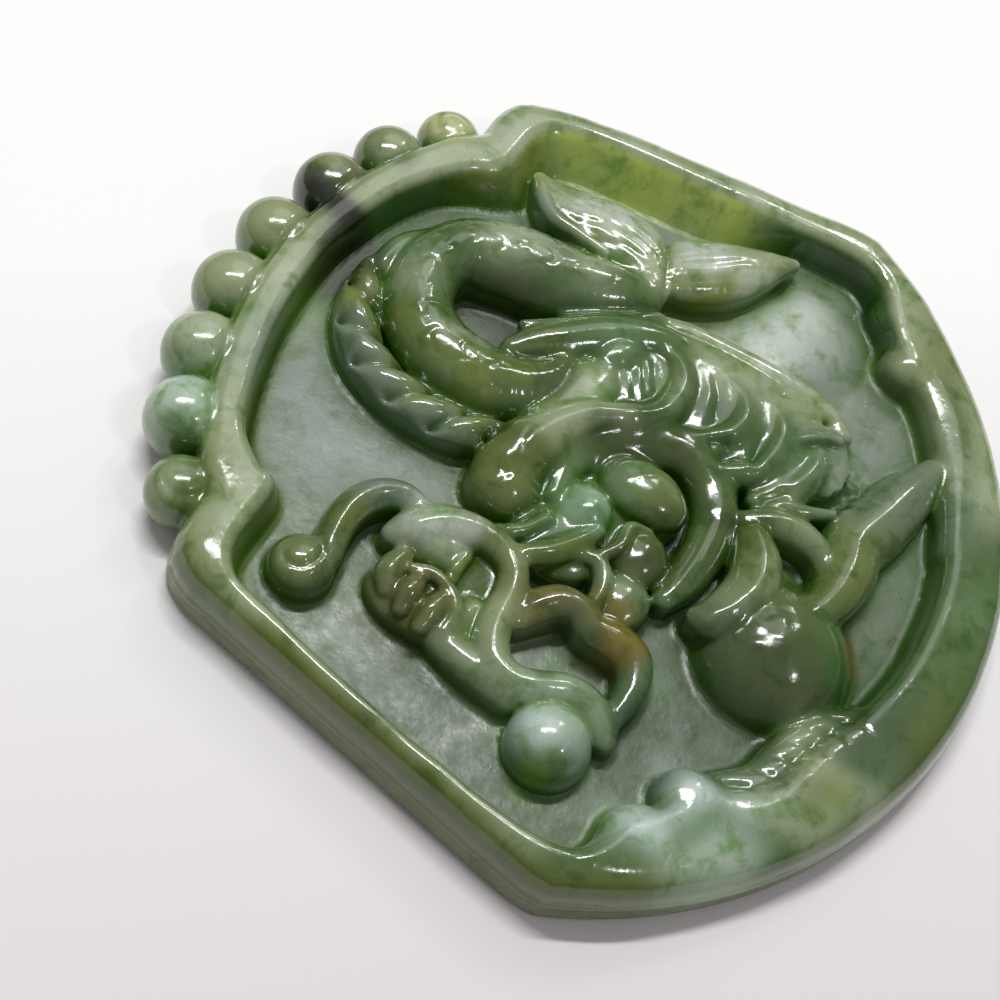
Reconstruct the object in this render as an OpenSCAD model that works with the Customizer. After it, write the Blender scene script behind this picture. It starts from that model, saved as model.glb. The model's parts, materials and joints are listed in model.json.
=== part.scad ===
// Carved stone plaque: a fish-dragon in relief inside a raised rim, under a row of beads.
// Millimetres. The plaque lies on its back, carved face up (+Z), beads towards +Y.

/* [Plaque] */
// Width of the plaque at its widest, just above the bottom curve
plaque_w = 63; // [56:0.5:70]
// Thickness of the flat ground behind the relief
ground_z = 2.2; // [1.6:0.1:3]
// Height of the rim's crest above the back
rim_z = 5.4; // [4.6:0.1:6.4]
// Radius of the arched top edge
arch_r = 33.9; // [33:0.1:35]
// Width of the arched rim
arch_w = 3.3; // [2.6:0.1:3.6]

/* [Beads] */
// Radius of the biggest beads on the top edge
bead_r = 2.9; // [2.5:0.05:2.95]
// Radius of the circle that the bead centres lie on
bead_ring_r = 34.8; // [34.5:0.1:35.6]

/* [Relief] */
// Height of the tallest masses: belly, coil and brow
relief_z = 6.2; // [5.6:0.1:7]
// Radius of the pearl
pearl_r = 2.85; // [2.2:0.05:3.2]

/* [Hidden] */
LOCKS = 4;
// Each bead from left to right: its angle on the arch, and its size beside the biggest
BEAD_ANGLES = [124.2, 115.2, 106.2, 96.5, 86.5, 75.9, 66.3, 57];
BEAD_SIZES = [0.85, 0.93, 0.94, 1, 1, 0.98, 0.93, 0.85];
BEADS = len(BEAD_ANGLES);

// Colours of the stone
OLIVE = [0.36, 0.38, 0.18];
PALE = [0.58, 0.64, 0.50];
GREEN = [0.25, 0.40, 0.20];
GREY = [0.50, 0.57, 0.52];
MINT = [0.66, 0.76, 0.68];
AMBER = [0.45, 0.36, 0.14];
DARK = [0.20, 0.22, 0.16];

// Outline: shoulders, sides and bottom curve. The left side is straight from the shoulder to
// its foot, and the right side bends outwards at its knee.
shoulder_y = 27.3;
shoulder_left_x = -25.1;
shoulder_right_x = 26.2;
shoulder_round = 2.6;
foot_y = -3.2;
foot_round = 4;
knee = [28.8, 14];
knee_round = 40;
bottom_centre_y = 10.5;
bottom_r = 34.5;
bottom_start = -28;
bottom_y = bottom_centre_y - bottom_r;
top_y = max([for (i = [0:BEADS - 1])
    bead_ring_r * sin(BEAD_ANGLES[i]) + bead_r * BEAD_SIZES[i]]);
mid_y = (top_y + bottom_y) / 2;

// Rim bands: half width, and how far the band's middle lies inside the outline
band_half = 1.6;
arch_span = 64;
foot_x = plaque_w / 2;

// Facets: points across a relief bar, steps between its route's points, sides and rings of a
// dome, steps of a bead's profile
ARCH_STEPS = 8;
ROUTE_STEPS = 3;
DOME_SIDES = 20;
DOME_RINGS = 5;
BEAD_STEPS = 14;

// Power that fills out the rounded tops: 1 is an ellipse, smaller is fuller
FULLNESS = 0.6;

function unit(v) = v / norm(v);

function arc(centre, r, from, to, steps) =
    [for (i = [0:steps]) centre + r * [cos(from + (to - from) * i / steps),
                                       sin(from + (to - from) * i / steps)]];

// A corner of the outline at b, between neighbours a and c, rounded to radius r
function corner(a, b, c, r, steps = 6) =
    let (u = unit(a - b), v = unit(c - b), half = acos(u * v) / 2,
         centre = b + unit(u + v) * r / sin(half),
         first = b + u * r / tan(half) - centre, last = b + v * r / tan(half) - centre)
    [for (i = [0:steps]) centre + r * unit(first * (1 - i / steps) + last * i / steps)];

// Where the outline's straight sides are at height y
function left_x(y) = lookup(y, [[foot_y, -foot_x], [shoulder_y, shoulder_left_x]]);
function right_x(y) =
    lookup(y, [[foot_y, foot_x], [knee.y, knee.x], [shoulder_y, shoulder_right_x]]);

// Catmull-Rom curve through a route's points
function curve_at(a, b, c, d, t) =
    0.5 * (2 * b + (c - a) * t + (2 * a - 5 * b + 4 * c - d) * t * t
           + (3 * b - a - 3 * c + d) * t * t * t);
function smooth(p, steps) = concat(
    [for (i = [0:len(p) - 2], j = [0:steps - 1])
        curve_at(p[max(i - 1, 0)], p[i], p[i + 1], p[min(i + 2, len(p) - 1)], j / steps)],
    [p[len(p) - 1]]);

// The model is drawn about the centre of the arch, and moved so that its box is centred
module framed(tint) {
    color(tint) translate([0, -mid_y, 0]) children();
}

// A rounded bar of stone standing on the ground along a route of [x, y, half width, top]
module bar(route) {
    ring = smooth(route, ROUTE_STEPS);
    rings = len(ring);
    across = ARCH_STEPS + 1;
    points = [for (i = [0:rings - 1])
        let (before = ring[max(i - 1, 0)], after = ring[min(i + 1, rings - 1)],
             along = unit([after.x - before.x, after.y - before.y]),
             side = [-along.y, along.x])
        for (j = [0:ARCH_STEPS])
            let (angle = 180 * j / ARCH_STEPS)
            [ring[i].x + side.x * ring[i][2] * cos(angle),
             ring[i].y + side.y * ring[i][2] * cos(angle),
             ground_z + (ring[i][3] - ground_z) * pow(max(sin(angle), 0), FULLNESS)]];
    sides = [for (i = [0:rings - 2], j = [0:across - 1])
        let (k = (j + 1) % across)
        each [[i * across + j, (i + 1) * across + j, i * across + k],
              [i * across + k, (i + 1) * across + j, (i + 1) * across + k]]];
    first_end = [for (j = [0:across - 1]) j];
    last_end = [for (j = [across - 1:-1:0]) (rings - 1) * across + j];
    polyhedron(points = points, faces = concat(sides, [first_end, last_end]), convexity = 6);
}

// A rounded lump standing on the ground, oval in plan
module dome(x, y, rx, ry, top, turn = 0) {
    points = concat(
        [for (k = [0:DOME_RINGS - 1], i = [0:DOME_SIDES - 1])
            let (rise = 90 * k / DOME_RINGS, angle = 360 * i / DOME_SIDES)
            [rx * cos(rise) * cos(angle), ry * cos(rise) * sin(angle),
             (top - ground_z) * pow(sin(rise), FULLNESS)]],
        [[0, 0, top - ground_z]]);
    tip = DOME_RINGS * DOME_SIDES;
    sides = [for (k = [0:DOME_RINGS - 2], i = [0:DOME_SIDES - 1])
        let (j = (i + 1) % DOME_SIDES, low = k * DOME_SIDES, high = low + DOME_SIDES)
        each [[low + i, high + i, low + j], [low + j, high + i, high + j]]];
    cap = [for (i = [0:DOME_SIDES - 1])
        [tip - DOME_SIDES + i, tip, tip - DOME_SIDES + (i + 1) % DOME_SIDES]];
    foot = [[for (i = [0:DOME_SIDES - 1]) i]];
    translate([x, y, ground_z]) rotate(turn)
        polyhedron(points = points, faces = concat(sides, cap, foot), convexity = 4);
}

module base_slab() {
    arch_end = asin(shoulder_y / arch_r);
    curve_start = [cos(bottom_start), sin(bottom_start)] * bottom_r + [0, bottom_centre_y];
    curve_end = [-curve_start.x, curve_start.y];
    right_shoulder = [shoulder_right_x, shoulder_y];
    right_foot = [foot_x, foot_y];
    left_shoulder = [shoulder_left_x, shoulder_y];
    left_foot = [-foot_x, foot_y];
    framed(GREY) linear_extrude(ground_z) polygon(concat(
        arc([0, 0], arch_r, 180 - arch_end, arch_end, 40),
        corner([0, shoulder_y], right_shoulder, knee, shoulder_round),
        corner(right_shoulder, knee, right_foot, knee_round),
        corner(knee, right_foot, curve_start, foot_round),
        arc([0, bottom_centre_y], bottom_r, bottom_start, -180 - bottom_start, 48),
        corner(curve_end, left_foot, left_shoulder, foot_round),
        corner(left_foot, left_shoulder, [0, shoulder_y], shoulder_round)));
}

// The arched rim: a band with a rounded inner crest, and a groove along its outer edge
module rim_arch() {
    inner = arch_r - arch_w;
    groove = arch_r - 0.7;
    framed(PALE) rotate([0, 0, 90 - arch_span / 2]) rotate_extrude(angle = arch_span, $fn = 180)
        polygon([[inner, ground_z], [arch_r, ground_z], [arch_r, rim_z - 0.8],
                 [groove, rim_z - 0.5], [groove - 0.3, rim_z - 0.1], [inner + 1.1, rim_z],
                 [inner + 0.5, rim_z - 0.3], [inner + 0.1, rim_z - 1.2]]);
}

// Heights of the points that the side rims run through, from the shoulder to the foot
RIM_HEIGHTS = [22.2, 18, 14, 9, 4, 0, -2.8];
EDGE_GAP = 0.1;

module rim_left() {
    framed(PALE) bar([for (y = RIM_HEIGHTS)
        [left_x(y) + band_half + EDGE_GAP, y, band_half, rim_z]]);
}

module rim_right() {
    framed(PALE) bar([for (y = RIM_HEIGHTS)
        [right_x(y) - band_half - EDGE_GAP, y, band_half, rim_z]]);
}

// The shoulder between the arch and the side: a soft block that bulges into the field
module shoulder(to) {
    bar([[to * 16.8, 24.7, 1.6, rim_z - 0.6], [to * 18.2, 25, 2.1, rim_z],
         [to * 21, 24.9, 2.2, rim_z], [to * 23.2, 24.6, 2, rim_z - 0.1],
         [to * 24.6, 24.2, 1.4, rim_z - 0.8]]);
}

module shoulder_left() {
    framed(PALE) shoulder(-1);
}

module shoulder_right() {
    framed(PALE) shoulder(1);
}

// A stretch of the rim round the bottom curve, between two angles
module rim_curve(from, to, top) {
    steps = 6;
    bar([for (i = [0:steps])
        let (angle = from + (to - from) * i / steps, r = bottom_r - band_half - EDGE_GAP)
        [r * cos(angle), bottom_centre_y + r * sin(angle), band_half, top]]);
}

module rim_bottom_left() {
    framed(GREEN) rim_curve(-156.5, -112.5, rim_z - 1);
}

module rim_bottom_middle() {
    framed(GREEN) rim_curve(-112, -68, rim_z - 0.6);
}

module rim_bottom_right() {
    framed(PALE) rim_curve(-67.5, -23.5, rim_z);
}

// One bead of the row: a ball with a flat where it meets the arched edge
module bead(number) {
    tints = [OLIVE, MINT, PALE, OLIVE, OLIVE, DARK, GREEN, PALE];
    angle = BEAD_ANGLES[number - 1];
    radius = bead_r * BEAD_SIZES[number - 1];
    flat = arch_r - bead_ring_r;
    low = asin(flat / radius);
    framed(tints[number - 1])
        translate([bead_ring_r * cos(angle), bead_ring_r * sin(angle), radius])
        rotate([0, 90, angle])
        rotate_extrude($fn = 48)
        polygon(concat([[0, flat]], arc([0, 0], radius, low, 90, BEAD_STEPS)));
}

// Overlapping spines along the back of the coil
module dorsal_fin() {
    framed(OLIVE) bar([
        [3, 27.6, 0.8, 4.5], [0.6, 27.1, 1.3, 5.1], [-2, 25.9, 1.5, 5.3], [-4, 23.6, 1.5, 5.4],
        [-5, 21, 1.5, 5.4], [-5.1, 18, 1.5, 5.3], [-4.7, 15.4, 1.3, 5.1], [-4, 13.9, 0.8, 4.6]]);
}

// The looped body, from under the neck, over the top and down to the tail's wrist
module body_coil() {
    framed(GREEN) bar([
        [4.4, 12.3, 1, 4.4], [1.7, 13, 2, 5.2], [-0.1, 15.3, 2.6, 5.9], [-0.4, 18.4, 2.8, relief_z],
        [0.4, 21.4, 2.8, relief_z], [2.9, 23.6, 2.5, relief_z], [6.3, 24, 2.6, relief_z],
        [9.2, 22.4, 2.9, relief_z], [10.8, 19.3, 3.3, relief_z], [11.6, 15.9, 3.2, 6],
        [12.7, 12.6, 2.5, 5.5], [13.8, 10.2, 1.4, 4.8]]);
}

module body_neck() {
    framed(GREEN) bar([
        [4.2, 15.4, 0.6, 4.2], [6.4, 13.6, 1.3, 5], [8.8, 11, 1.8, 5.4], [10.8, 8.4, 1.7, 5.4],
        [11.9, 6.4, 1, 4.8]]);
}

module tail_fin_upper() {
    framed(PALE) bar([
        [18.6, 21.2, 0.4, 4.4], [17.9, 19.4, 1.6, 4.9], [17.5, 16.8, 2.7, 5.2], [17.6, 14, 3.1, 5.3],
        [16.9, 11.4, 2.6, 5.2], [15.4, 10, 1.3, 4.9]]);
}

module tail_fin_lower() {
    framed(PALE) bar([
        [17, 9.6, 2, 4.8], [18.5, 7.9, 2.9, 5.1], [20, 5.9, 2.8, 5.1], [21.8, 3.9, 1.9, 4.9],
        [23.3, 2.4, 1.1, 4.5], [24.2, 1.5, 0.5, 4]]);
}

// The horn: a ball end that runs into the brow
module horn_lobe() {
    framed(OLIVE) bar([
        [-9, 10.9, 0.9, 4], [-7.8, 10.9, 2.3, 5.4], [-6, 11, 2.7, 6], [-4.4, 11.2, 2, 5.8]]);
}

module brow_ridge() {
    framed(PALE) bar([
        [-3.9, 11.3, 1.5, 5.8], [-2.2, 10.6, 1.6, relief_z], [-0.2, 9.4, 1.5, relief_z],
        [1.4, 8, 1.2, relief_z], [2.3, 6.6, 0.9, 5.8]]);
}

// The wall of stone from the brow round the back of the cheek
module cheek_arc() {
    framed(GREEN) bar([
        [-0.2, 6.6, 0.6, 4], [1.4, 5, 0.9, 5], [2.4, 2.6, 1, 5.2], [2.4, 0.4, 0.9, 5],
        [1.4, -1, 0.6, 4.2]]);
}

// Crescent locks of the mane, one below the other down the back of the head
module mane_lock(number) {
    routes = [
        [[3, 6.2, 0.7, 5.6], [4.2, 4.8, 0.9, 6], [6.2, 4.2, 1, 6], [8.2, 4.6, 0.9, 5.8],
         [9.6, 6, 0.6, 5]],
        [[4, 3, 0.6, 4.8], [4.8, 1.6, 0.9, 5.4], [6.6, 1, 1, 5.6], [8.6, 1.2, 0.9, 5.4],
         [10.2, 2.4, 0.6, 4.6]],
        [[3.4, -0.4, 0.6, 4.6], [4.6, -1.6, 0.9, 5.2], [6.6, -2.2, 1, 5.4], [8.8, -1.8, 0.9, 5.2],
         [10.4, -0.6, 0.6, 4.4]],
        [[3.2, -3.6, 0.6, 4.4], [4.8, -4.6, 0.9, 5], [7, -5.2, 1.1, 5.2], [9.2, -5, 1, 5],
         [11, -4, 0.6, 4.2]]
    ];
    framed(GREEN) bar(routes[number - 1]);
}

module mane_fringe() {
    framed(PALE) bar([
        [12.9, 5.4, 0.6, 3.8], [13.2, 2.8, 0.8, 4.2], [13.4, 0, 0.9, 4.2], [13.4, -3, 0.9, 4.2],
        [13, -5.6, 0.9, 4], [11.6, -7.6, 0.8, 3.8], [9.4, -8.2, 0.5, 3.4]]);
}

module eye_lump_upper() {
    framed(MINT) dome(-5.6, 5.6, 1.8, 1.7, 5.2);
}

module eye_lump_front() {
    framed(OLIVE) dome(-2.2, 2.3, 2.2, 2.9, 5.8);
}

module cheek_lump() {
    framed(OLIVE) dome(-7, 1.3, 2.3, 2.2, 5.2);
}

// The upturned nose, hooked at its end
module nose_lobe() {
    framed(OLIVE) bar([
        [-14.8, 14.6, 1, 4.6], [-13.9, 13.6, 1.5, 5.6], [-12.7, 12, 1.5, 5.8],
        [-12, 10.2, 1.3, 5.6], [-12.2, 8.8, 0.7, 4.8]]);
}

// Blunt upper teeth in a stack
module upper_teeth() {
    framed(OLIVE) for (i = [0:2])
        dome(-18 - 0.3 * i, 14.4 - 1.9 * i, 1.7, 0.9, 5.2 - 0.1 * i);
}

// The whisker sweeps up from the nose and ends in a curl
module whisker() {
    framed(OLIVE) bar([
        [-12.4, 16, 0.5, 4], [-12.9, 17.2, 0.9, 4.8], [-14.5, 18.4, 1.1, 5],
        [-16.6, 19, 1.1, 5], [-18.6, 19.2, 1.4, 5.1], [-20.2, 19.6, 2.1, 5.2],
        [-21.6, 19.7, 1.5, 4.8], [-22.2, 19.7, 0.5, 4]]);
}

module lip_strand() {
    framed(PALE) bar([
        [-11.4, 7, 0.6, 4.8], [-13.4, 7.4, 0.8, 5.2], [-16, 7.5, 0.9, 5.2], [-18.2, 6.8, 1, 5.2],
        [-19.5, 5, 1, 5.2], [-19.2, 3, 0.9, 5.2], [-18.6, 1, 0.9, 5.2], [-18.6, -0.8, 0.9, 5],
        [-19.2, -2.4, 0.6, 4.4]]);
}

module lower_jaw() {
    framed(AMBER) bar([
        [-15.6, 5.2, 0.5, 4.4], [-13.8, 4.8, 0.8, 5], [-12.9, 3, 0.9, 5.2], [-13.1, 1, 1, 5.2],
        [-13.6, -1, 1, 5.2], [-14.8, -2.6, 0.9, 5], [-16.6, -3, 0.7, 4.6], [-17.8, -2.6, 0.4, 4]]);
}

module muzzle_ridge() {
    framed(GREEN) bar([
        [-11.2, 5.8, 0.5, 4.2], [-10, 5.2, 0.7, 4.8], [-9.2, 3.8, 0.6, 4.6],
        [-9.8, 2.4, 0.5, 4.2], [-11, 1.8, 0.4, 4]]);
}

module pearl() {
    framed(MINT) difference() {
        translate([-22.6, 0.3, ground_z + 0.3 * pearl_r]) sphere(r = pearl_r, $fn = 48);
        translate([-30, -10, ground_z - 10]) cube([20, 20, 10]);
    }
}

// Folds of skin under the chin, one behind the other
module chin_folds() {
    framed(GREEN) for (i = [0:1])
        bar([[-8.4 + i, -1.8 - 1.6 * i, 0.4, 3.8], [-5, -2 - 1.6 * i, 0.7, 4.6],
             [-1.5, -1.9 - 1.6 * i, 0.7, 4.6], [1.8 - i, -2.5 - 1.1 * i, 0.4, 3.8]]);
}

module belly() {
    framed(OLIVE) dome(-6.8, -10.9, 6.2, 6.1, relief_z);
}

module belly_leaf() {
    framed(GREEN) bar([
        [0.6, -5.2, 0.5, 4], [1.6, -6.8, 1, 5], [1.8, -8.8, 1.2, 5.2], [1.2, -10.8, 1, 5],
        [-0.2, -12, 0.5, 4.2]]);
}

module lower_body() {
    framed(OLIVE) bar([
        [-1.6, -15.4, 0.8, 4.4], [1.6, -14.6, 1.8, 5.2], [5.4, -13.8, 2.2, 5.4],
        [9.4, -14, 1.8, 5.2], [13, -15, 0.9, 4.4]]);
}

// The ground swells before it dips to the right rim
module ground_mound() {
    framed(GREY) dome(20, -2.6, 3.6, 3.4, 3.2);
}

module rock_left() {
    framed(MINT) dome(-25.2, -7.6, 1.9, 1.6, 4.9);
}

module rock_lobe() {
    framed(MINT) dome(-20.6, -9, 1.9, 2.1, 5.2);
}

module rock_wave() {
    framed(PALE) bar([
        [-20.2, -12, 1, 4.4], [-18.4, -13.4, 1.5, 5], [-15.6, -14.8, 1.7, 5],
        [-12.8, -16.4, 1.4, 4.6], [-10.6, -18, 0.7, 3.8]]);
}

module rock_right() {
    framed(PALE) for (i = [0:1])
        dome(25.2 - 4.4 * i, -7.8 - 2.6 * i, 1.9, 1.6 + 0.3 * i, 4.9);
}

module wave_right() {
    framed(GREEN) bar([
        [20.2, -13, 1, 4.4], [17.8, -15, 1.4, 4.9], [14.4, -17.4, 1.3, 4.8],
        [10.6, -18.6, 1.1, 4.4], [7, -18.8, 0.6, 3.8]]);
}

base_slab();
rim_arch();
rim_left();
rim_right();
shoulder_left();
shoulder_right();
rim_bottom_left();
rim_bottom_middle();
rim_bottom_right();
for (i = [1:BEADS]) {
    bead(i);
}
dorsal_fin();
body_coil();
body_neck();
tail_fin_upper();
tail_fin_lower();
horn_lobe();
brow_ridge();
cheek_arc();
for (i = [1:LOCKS]) {
    mane_lock(i);
}
mane_fringe();
eye_lump_upper();
eye_lump_front();
cheek_lump();
nose_lobe();
upper_teeth();
whisker();
lip_strand();
lower_jaw();
muzzle_ridge();
pearl();
chin_folds();
belly();
belly_leaf();
lower_body();
ground_mound();
rock_left();
rock_lobe();
rock_wave();
rock_right();
wave_right();
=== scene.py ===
"""A carved jade plaque: a fish-dragon in relief inside a raised rim, under a row of beads.

The stone is sculpted as one field of distances on a grid, in millimetres about the centre of the
arch, and cut into closed pieces along its creases, one for each CAD node.
"""
import json
import math

import bpy
import numpy as np
from mathutils import Matrix, Vector


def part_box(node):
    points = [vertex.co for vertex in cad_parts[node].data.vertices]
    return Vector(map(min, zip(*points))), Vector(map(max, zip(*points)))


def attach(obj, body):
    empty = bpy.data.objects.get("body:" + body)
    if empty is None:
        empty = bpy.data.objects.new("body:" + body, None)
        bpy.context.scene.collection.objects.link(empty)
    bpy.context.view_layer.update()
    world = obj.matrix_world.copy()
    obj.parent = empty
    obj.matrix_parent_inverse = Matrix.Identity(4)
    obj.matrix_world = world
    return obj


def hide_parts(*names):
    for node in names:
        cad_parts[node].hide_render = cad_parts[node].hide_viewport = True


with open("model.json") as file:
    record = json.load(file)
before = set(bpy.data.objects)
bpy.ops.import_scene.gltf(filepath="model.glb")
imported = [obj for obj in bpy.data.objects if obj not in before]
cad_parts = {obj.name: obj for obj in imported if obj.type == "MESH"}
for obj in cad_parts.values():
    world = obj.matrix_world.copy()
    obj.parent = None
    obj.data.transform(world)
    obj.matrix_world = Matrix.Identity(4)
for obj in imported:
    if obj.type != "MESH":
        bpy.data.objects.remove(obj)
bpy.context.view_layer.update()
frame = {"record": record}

# ---------------------------------------------------------------- frame and grid
MM = 0.001
BOTTOM_Y = -24.0  # lowest point of the outline below the centre of the arch
MID_Y = BOTTOM_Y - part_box("base_slab")[0][1] / MM
GROUND_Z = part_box("base_slab")[1][2] / MM
RIM_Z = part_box("rim_left")[1][2] / MM
ARCH_R = 33.9
BEAD_RING = 34.8
SLOT = {row["node"]: row["material_slot"] for row in frame["record"]["subparts"]}

CELL = 0.15
LOW = np.array([-33.0, -25.5, -0.6])
HIGH = np.array([33.0, 39.3, 7.4])
COUNT = ((HIGH - LOW) / CELL).astype(int) + 1
AXES = [LOW[i] + CELL * np.arange(COUNT[i]) for i in range(3)]
FAR = 50.0
CRUMB = 8.0  # area, in square mm, below which a loose bit of a piece is dropped
STAND = 2.0  # pieces other than the slab start at this height
rng = np.random.default_rng(7)


def window(low, high):
    """The part of the grid between two corners, as slices."""
    first = np.clip(((np.array(low) - LOW) / CELL).astype(int), 0, COUNT - 2)
    last = np.clip(((np.array(high) - LOW) / CELL).astype(int) + 2, first + 2, COUNT)
    return tuple(slice(int(a), int(b)) for a, b in zip(first, last))


def plan(box):
    return np.meshgrid(AXES[0][box[0]], AXES[1][box[1]], indexing="ij")


WHOLE = window(LOW, HIGH)


# ---------------------------------------------------------------- curves and shapes
def spline(points, steps=5):
    """A Catmull-Rom curve through a route's points."""
    p = np.array(points, float)
    ends = len(p) - 1
    rows = []
    for i in range(ends):
        a, b, c, d = p[max(i - 1, 0)], p[i], p[i + 1], p[min(i + 2, ends)]
        for t in np.arange(steps) / steps:
            rows.append(0.5 * (2 * b + (c - a) * t + (2 * a - 5 * b + 4 * c - d) * t * t
                               + (3 * b - a - 3 * c + d) * t ** 3))
    return np.array(rows + [p[-1]])


def nearest(curve, x, y):
    """For each point of the plan: distance, radius and top of the curve, side and way along."""
    best = np.full(x.shape, 1e9)
    out = [np.zeros(x.shape) for _ in range(5)]
    start = 0.0
    for a, b in zip(curve[:-1], curve[1:]):
        dx, dy = b[0] - a[0], b[1] - a[1]
        length = math.hypot(dx, dy) + 1e-9
        t = np.clip(((x - a[0]) * dx + (y - a[1]) * dy) / length ** 2, 0, 1)
        px, py = x - a[0] - t * dx, y - a[1] - t * dy
        d = np.hypot(px, py)
        r = a[2] + t * (b[2] - a[2])
        closer = d - r < best
        values = (d, r, a[3] + t * (b[3] - a[3]), np.sign(dx * py - dy * px) * d,
                  start + t * length)
        best = np.where(closer, d - r, best)
        for k, value in enumerate(values):
            out[k] = np.where(closer, value, out[k])
        start += length
    return out


class Tube:
    """A bar along a route of (x, y, half width, top) with a crest; a low peak number sharpens it."""

    def __init__(self, route, crown=0.9, under=0.12, peak=1.65):
        self.curve = spline(route)
        self.crown, self.under, self.peak = crown, under, peak
        reach = self.curve[:, 2:3]
        self.low = (self.curve[:, :2] - reach).min(0)
        self.high = (self.curve[:, :2] + reach).max(0)
        self.top = self.curve[:, 3].max()

    def field(self, box):
        x, y = plan(box)
        d, r, top, _, _ = nearest(self.curve, x, y)
        z = AXES[2][box[2]][None, None, :] - (top - r * self.crown)[:, :, None]
        z = np.where(z > 0, z / self.crown, -z * self.under)
        p = self.peak
        return (d[:, :, None] ** p + z ** p) ** (1 / p) - r[:, :, None]


class Dome:
    """A rounded lump, oval in plan."""

    def __init__(self, x, y, rx, ry, top, turn=0, crown=0.8, under=0.12):
        self.at = (x, y, rx, ry, math.radians(turn))
        self.height = crown * min(rx, ry)
        self.top, self.under = top, under
        reach = max(rx, ry)
        self.low, self.high = np.array([x - reach, y - reach]), np.array([x + reach, y + reach])

    def field(self, box):
        cx, cy, rx, ry, turn = self.at
        x, y = plan(box)
        u = (x - cx) * math.cos(turn) + (y - cy) * math.sin(turn)
        v = (y - cy) * math.cos(turn) - (x - cx) * math.sin(turn)
        rho = np.hypot(u / rx, v / ry)[:, :, None]
        z = AXES[2][box[2]][None, None, :] - (self.top - self.height)
        z = np.where(z > 0, z / self.height, z * self.under / self.height)
        return (np.sqrt(rho ** 2 + z * z) - 1) * min(rx, ry)


def smin(a, b, k):
    h = np.clip(0.5 + 0.5 * (b - a) / k, 0, 1)
    return b + (a - b) * h - k * h * (1 - h)


def smax(a, b, k):
    return -smin(-a, -b, k)


def arc(cx, cy, r, start, end, steps):
    angles = np.radians(np.linspace(start, end, steps))
    return [(cx + r * math.cos(a), cy + r * math.sin(a)) for a in angles]


def inside(points, x, y):
    """Signed distance from a closed outline in plan, positive inside it."""
    best = np.full(x.shape, 1e9)
    odd = np.zeros(x.shape, bool)
    for (ax, ay), (bx, by) in zip(points, points[1:] + points[:1]):
        dx, dy = bx - ax, by - ay
        t = np.clip(((x - ax) * dx + (y - ay) * dy) / (dx * dx + dy * dy + 1e-12), 0, 1)
        best = np.minimum(best, (x - ax - t * dx) ** 2 + (y - ay - t * dy) ** 2)
        if ay != by:
            odd ^= ((ay > y) != (by > y)) & (x < ax + (y - ay) * dx / dy)
    return np.where(odd, 1, -1) * np.sqrt(best)


def blur(field, radius):
    """A Gaussian blur, radius in cells."""
    reach = max(1, int(round(2.5 * radius)))
    taps = np.exp(-0.5 * (np.arange(-reach, reach + 1) / radius) ** 2)
    taps /= taps.sum()
    for axis in range(field.ndim):
        size = field.shape[axis]
        wide = np.concatenate([np.repeat(field.take([0], axis), reach, axis), field,
                               np.repeat(field.take([size - 1], axis), reach, axis)], axis)
        out = np.zeros(field.shape, np.float32)
        for k, tap in enumerate(taps):
            cut = [slice(None)] * field.ndim
            cut[axis] = slice(k, k + size)
            out += np.float32(tap) * wide[tuple(cut)]
        field = out
    return field


# ---------------------------------------------------------------- the plaque: slab and rim
SHOULDER_Y = 27.3


def outline():
    """The plaque's edge, clockwise from the left end of the arch."""
    end = math.degrees(math.asin(SHOULDER_Y / ARCH_R))
    right = [(22.2, 27.3), (23.4, 27.1), (24.6, 26.6), (25.5, 25.6), (26.2, 24.2), (27.3, 21.4),
             (28.2, 18), (28.8, 14), (29.5, 10), (30.2, 5), (31, 0), (31.35, -2.6), (31.35, -4)]
    bottom = arc(0, 10.5, 34.5, -25.5, -154.5, 60)
    left = [(-31.3, -4), (-31.3, -2.6), (-31, -0.8), (-25.7, 24.4), (-25.2, 25.5),
            (-24.5, 26.5), (-23.4, 27.1), (-22.2, 27.3)]
    return arc(0, 0, ARCH_R, 180 - end, end, 50) + right + bottom + left


def well():
    """The inner edge of the rim's crest, clockwise from the left end of the arch."""
    arch = [(-16.4, 25.2), (-14.6, 27.4), (-12, 28.7), (-8, 29.9), (-4, 30.7), (0, 31),
            (4, 30.8), (8, 29.9), (11, 28.8), (14, 27.1), (15.7, 25.8)]
    right = [(16.5, 24.7), (17.6, 24), (19.4, 23.8), (21.6, 23.6), (23.2, 22.9), (24.1, 21.6),
             (24.8, 19.8), (25.3, 17), (25.7, 14), (26.2, 10), (26.8, 6), (27.2, 2), (27.5, -1.5),
             (27.4, -4), (26, -6)]
    bottom = [(23, -8), (20, -10.6), (18, -13), (14, -15.4), (9, -17.6), (4, -18.8), (-1, -18.9),
              (-5, -18.4), (-9, -17.2), (-12, -15.8), (-15, -14.6), (-18, -13), (-20, -10.6),
              (-22, -8.6), (-24.4, -6.8)]
    left = [(-26.8, -5.4), (-28, -4.6), (-28.7, -2.6), (-28.8, -0.4), (-28.4, 3), (-27.6, 7),
            (-26.7, 12), (-25.5, 17), (-24.6, 20.6), (-24, 22.4), (-22.8, 23.4), (-21, 23.7),
            (-18.6, 23.6), (-17.2, 23.7), (-16.5, 24.3)]
    points = arch + right + bottom + left
    curve = spline([p + (0, 0) for p in points + points[:1]], 4)
    return [tuple(p[:2]) for p in curve[:-1]]


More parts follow.
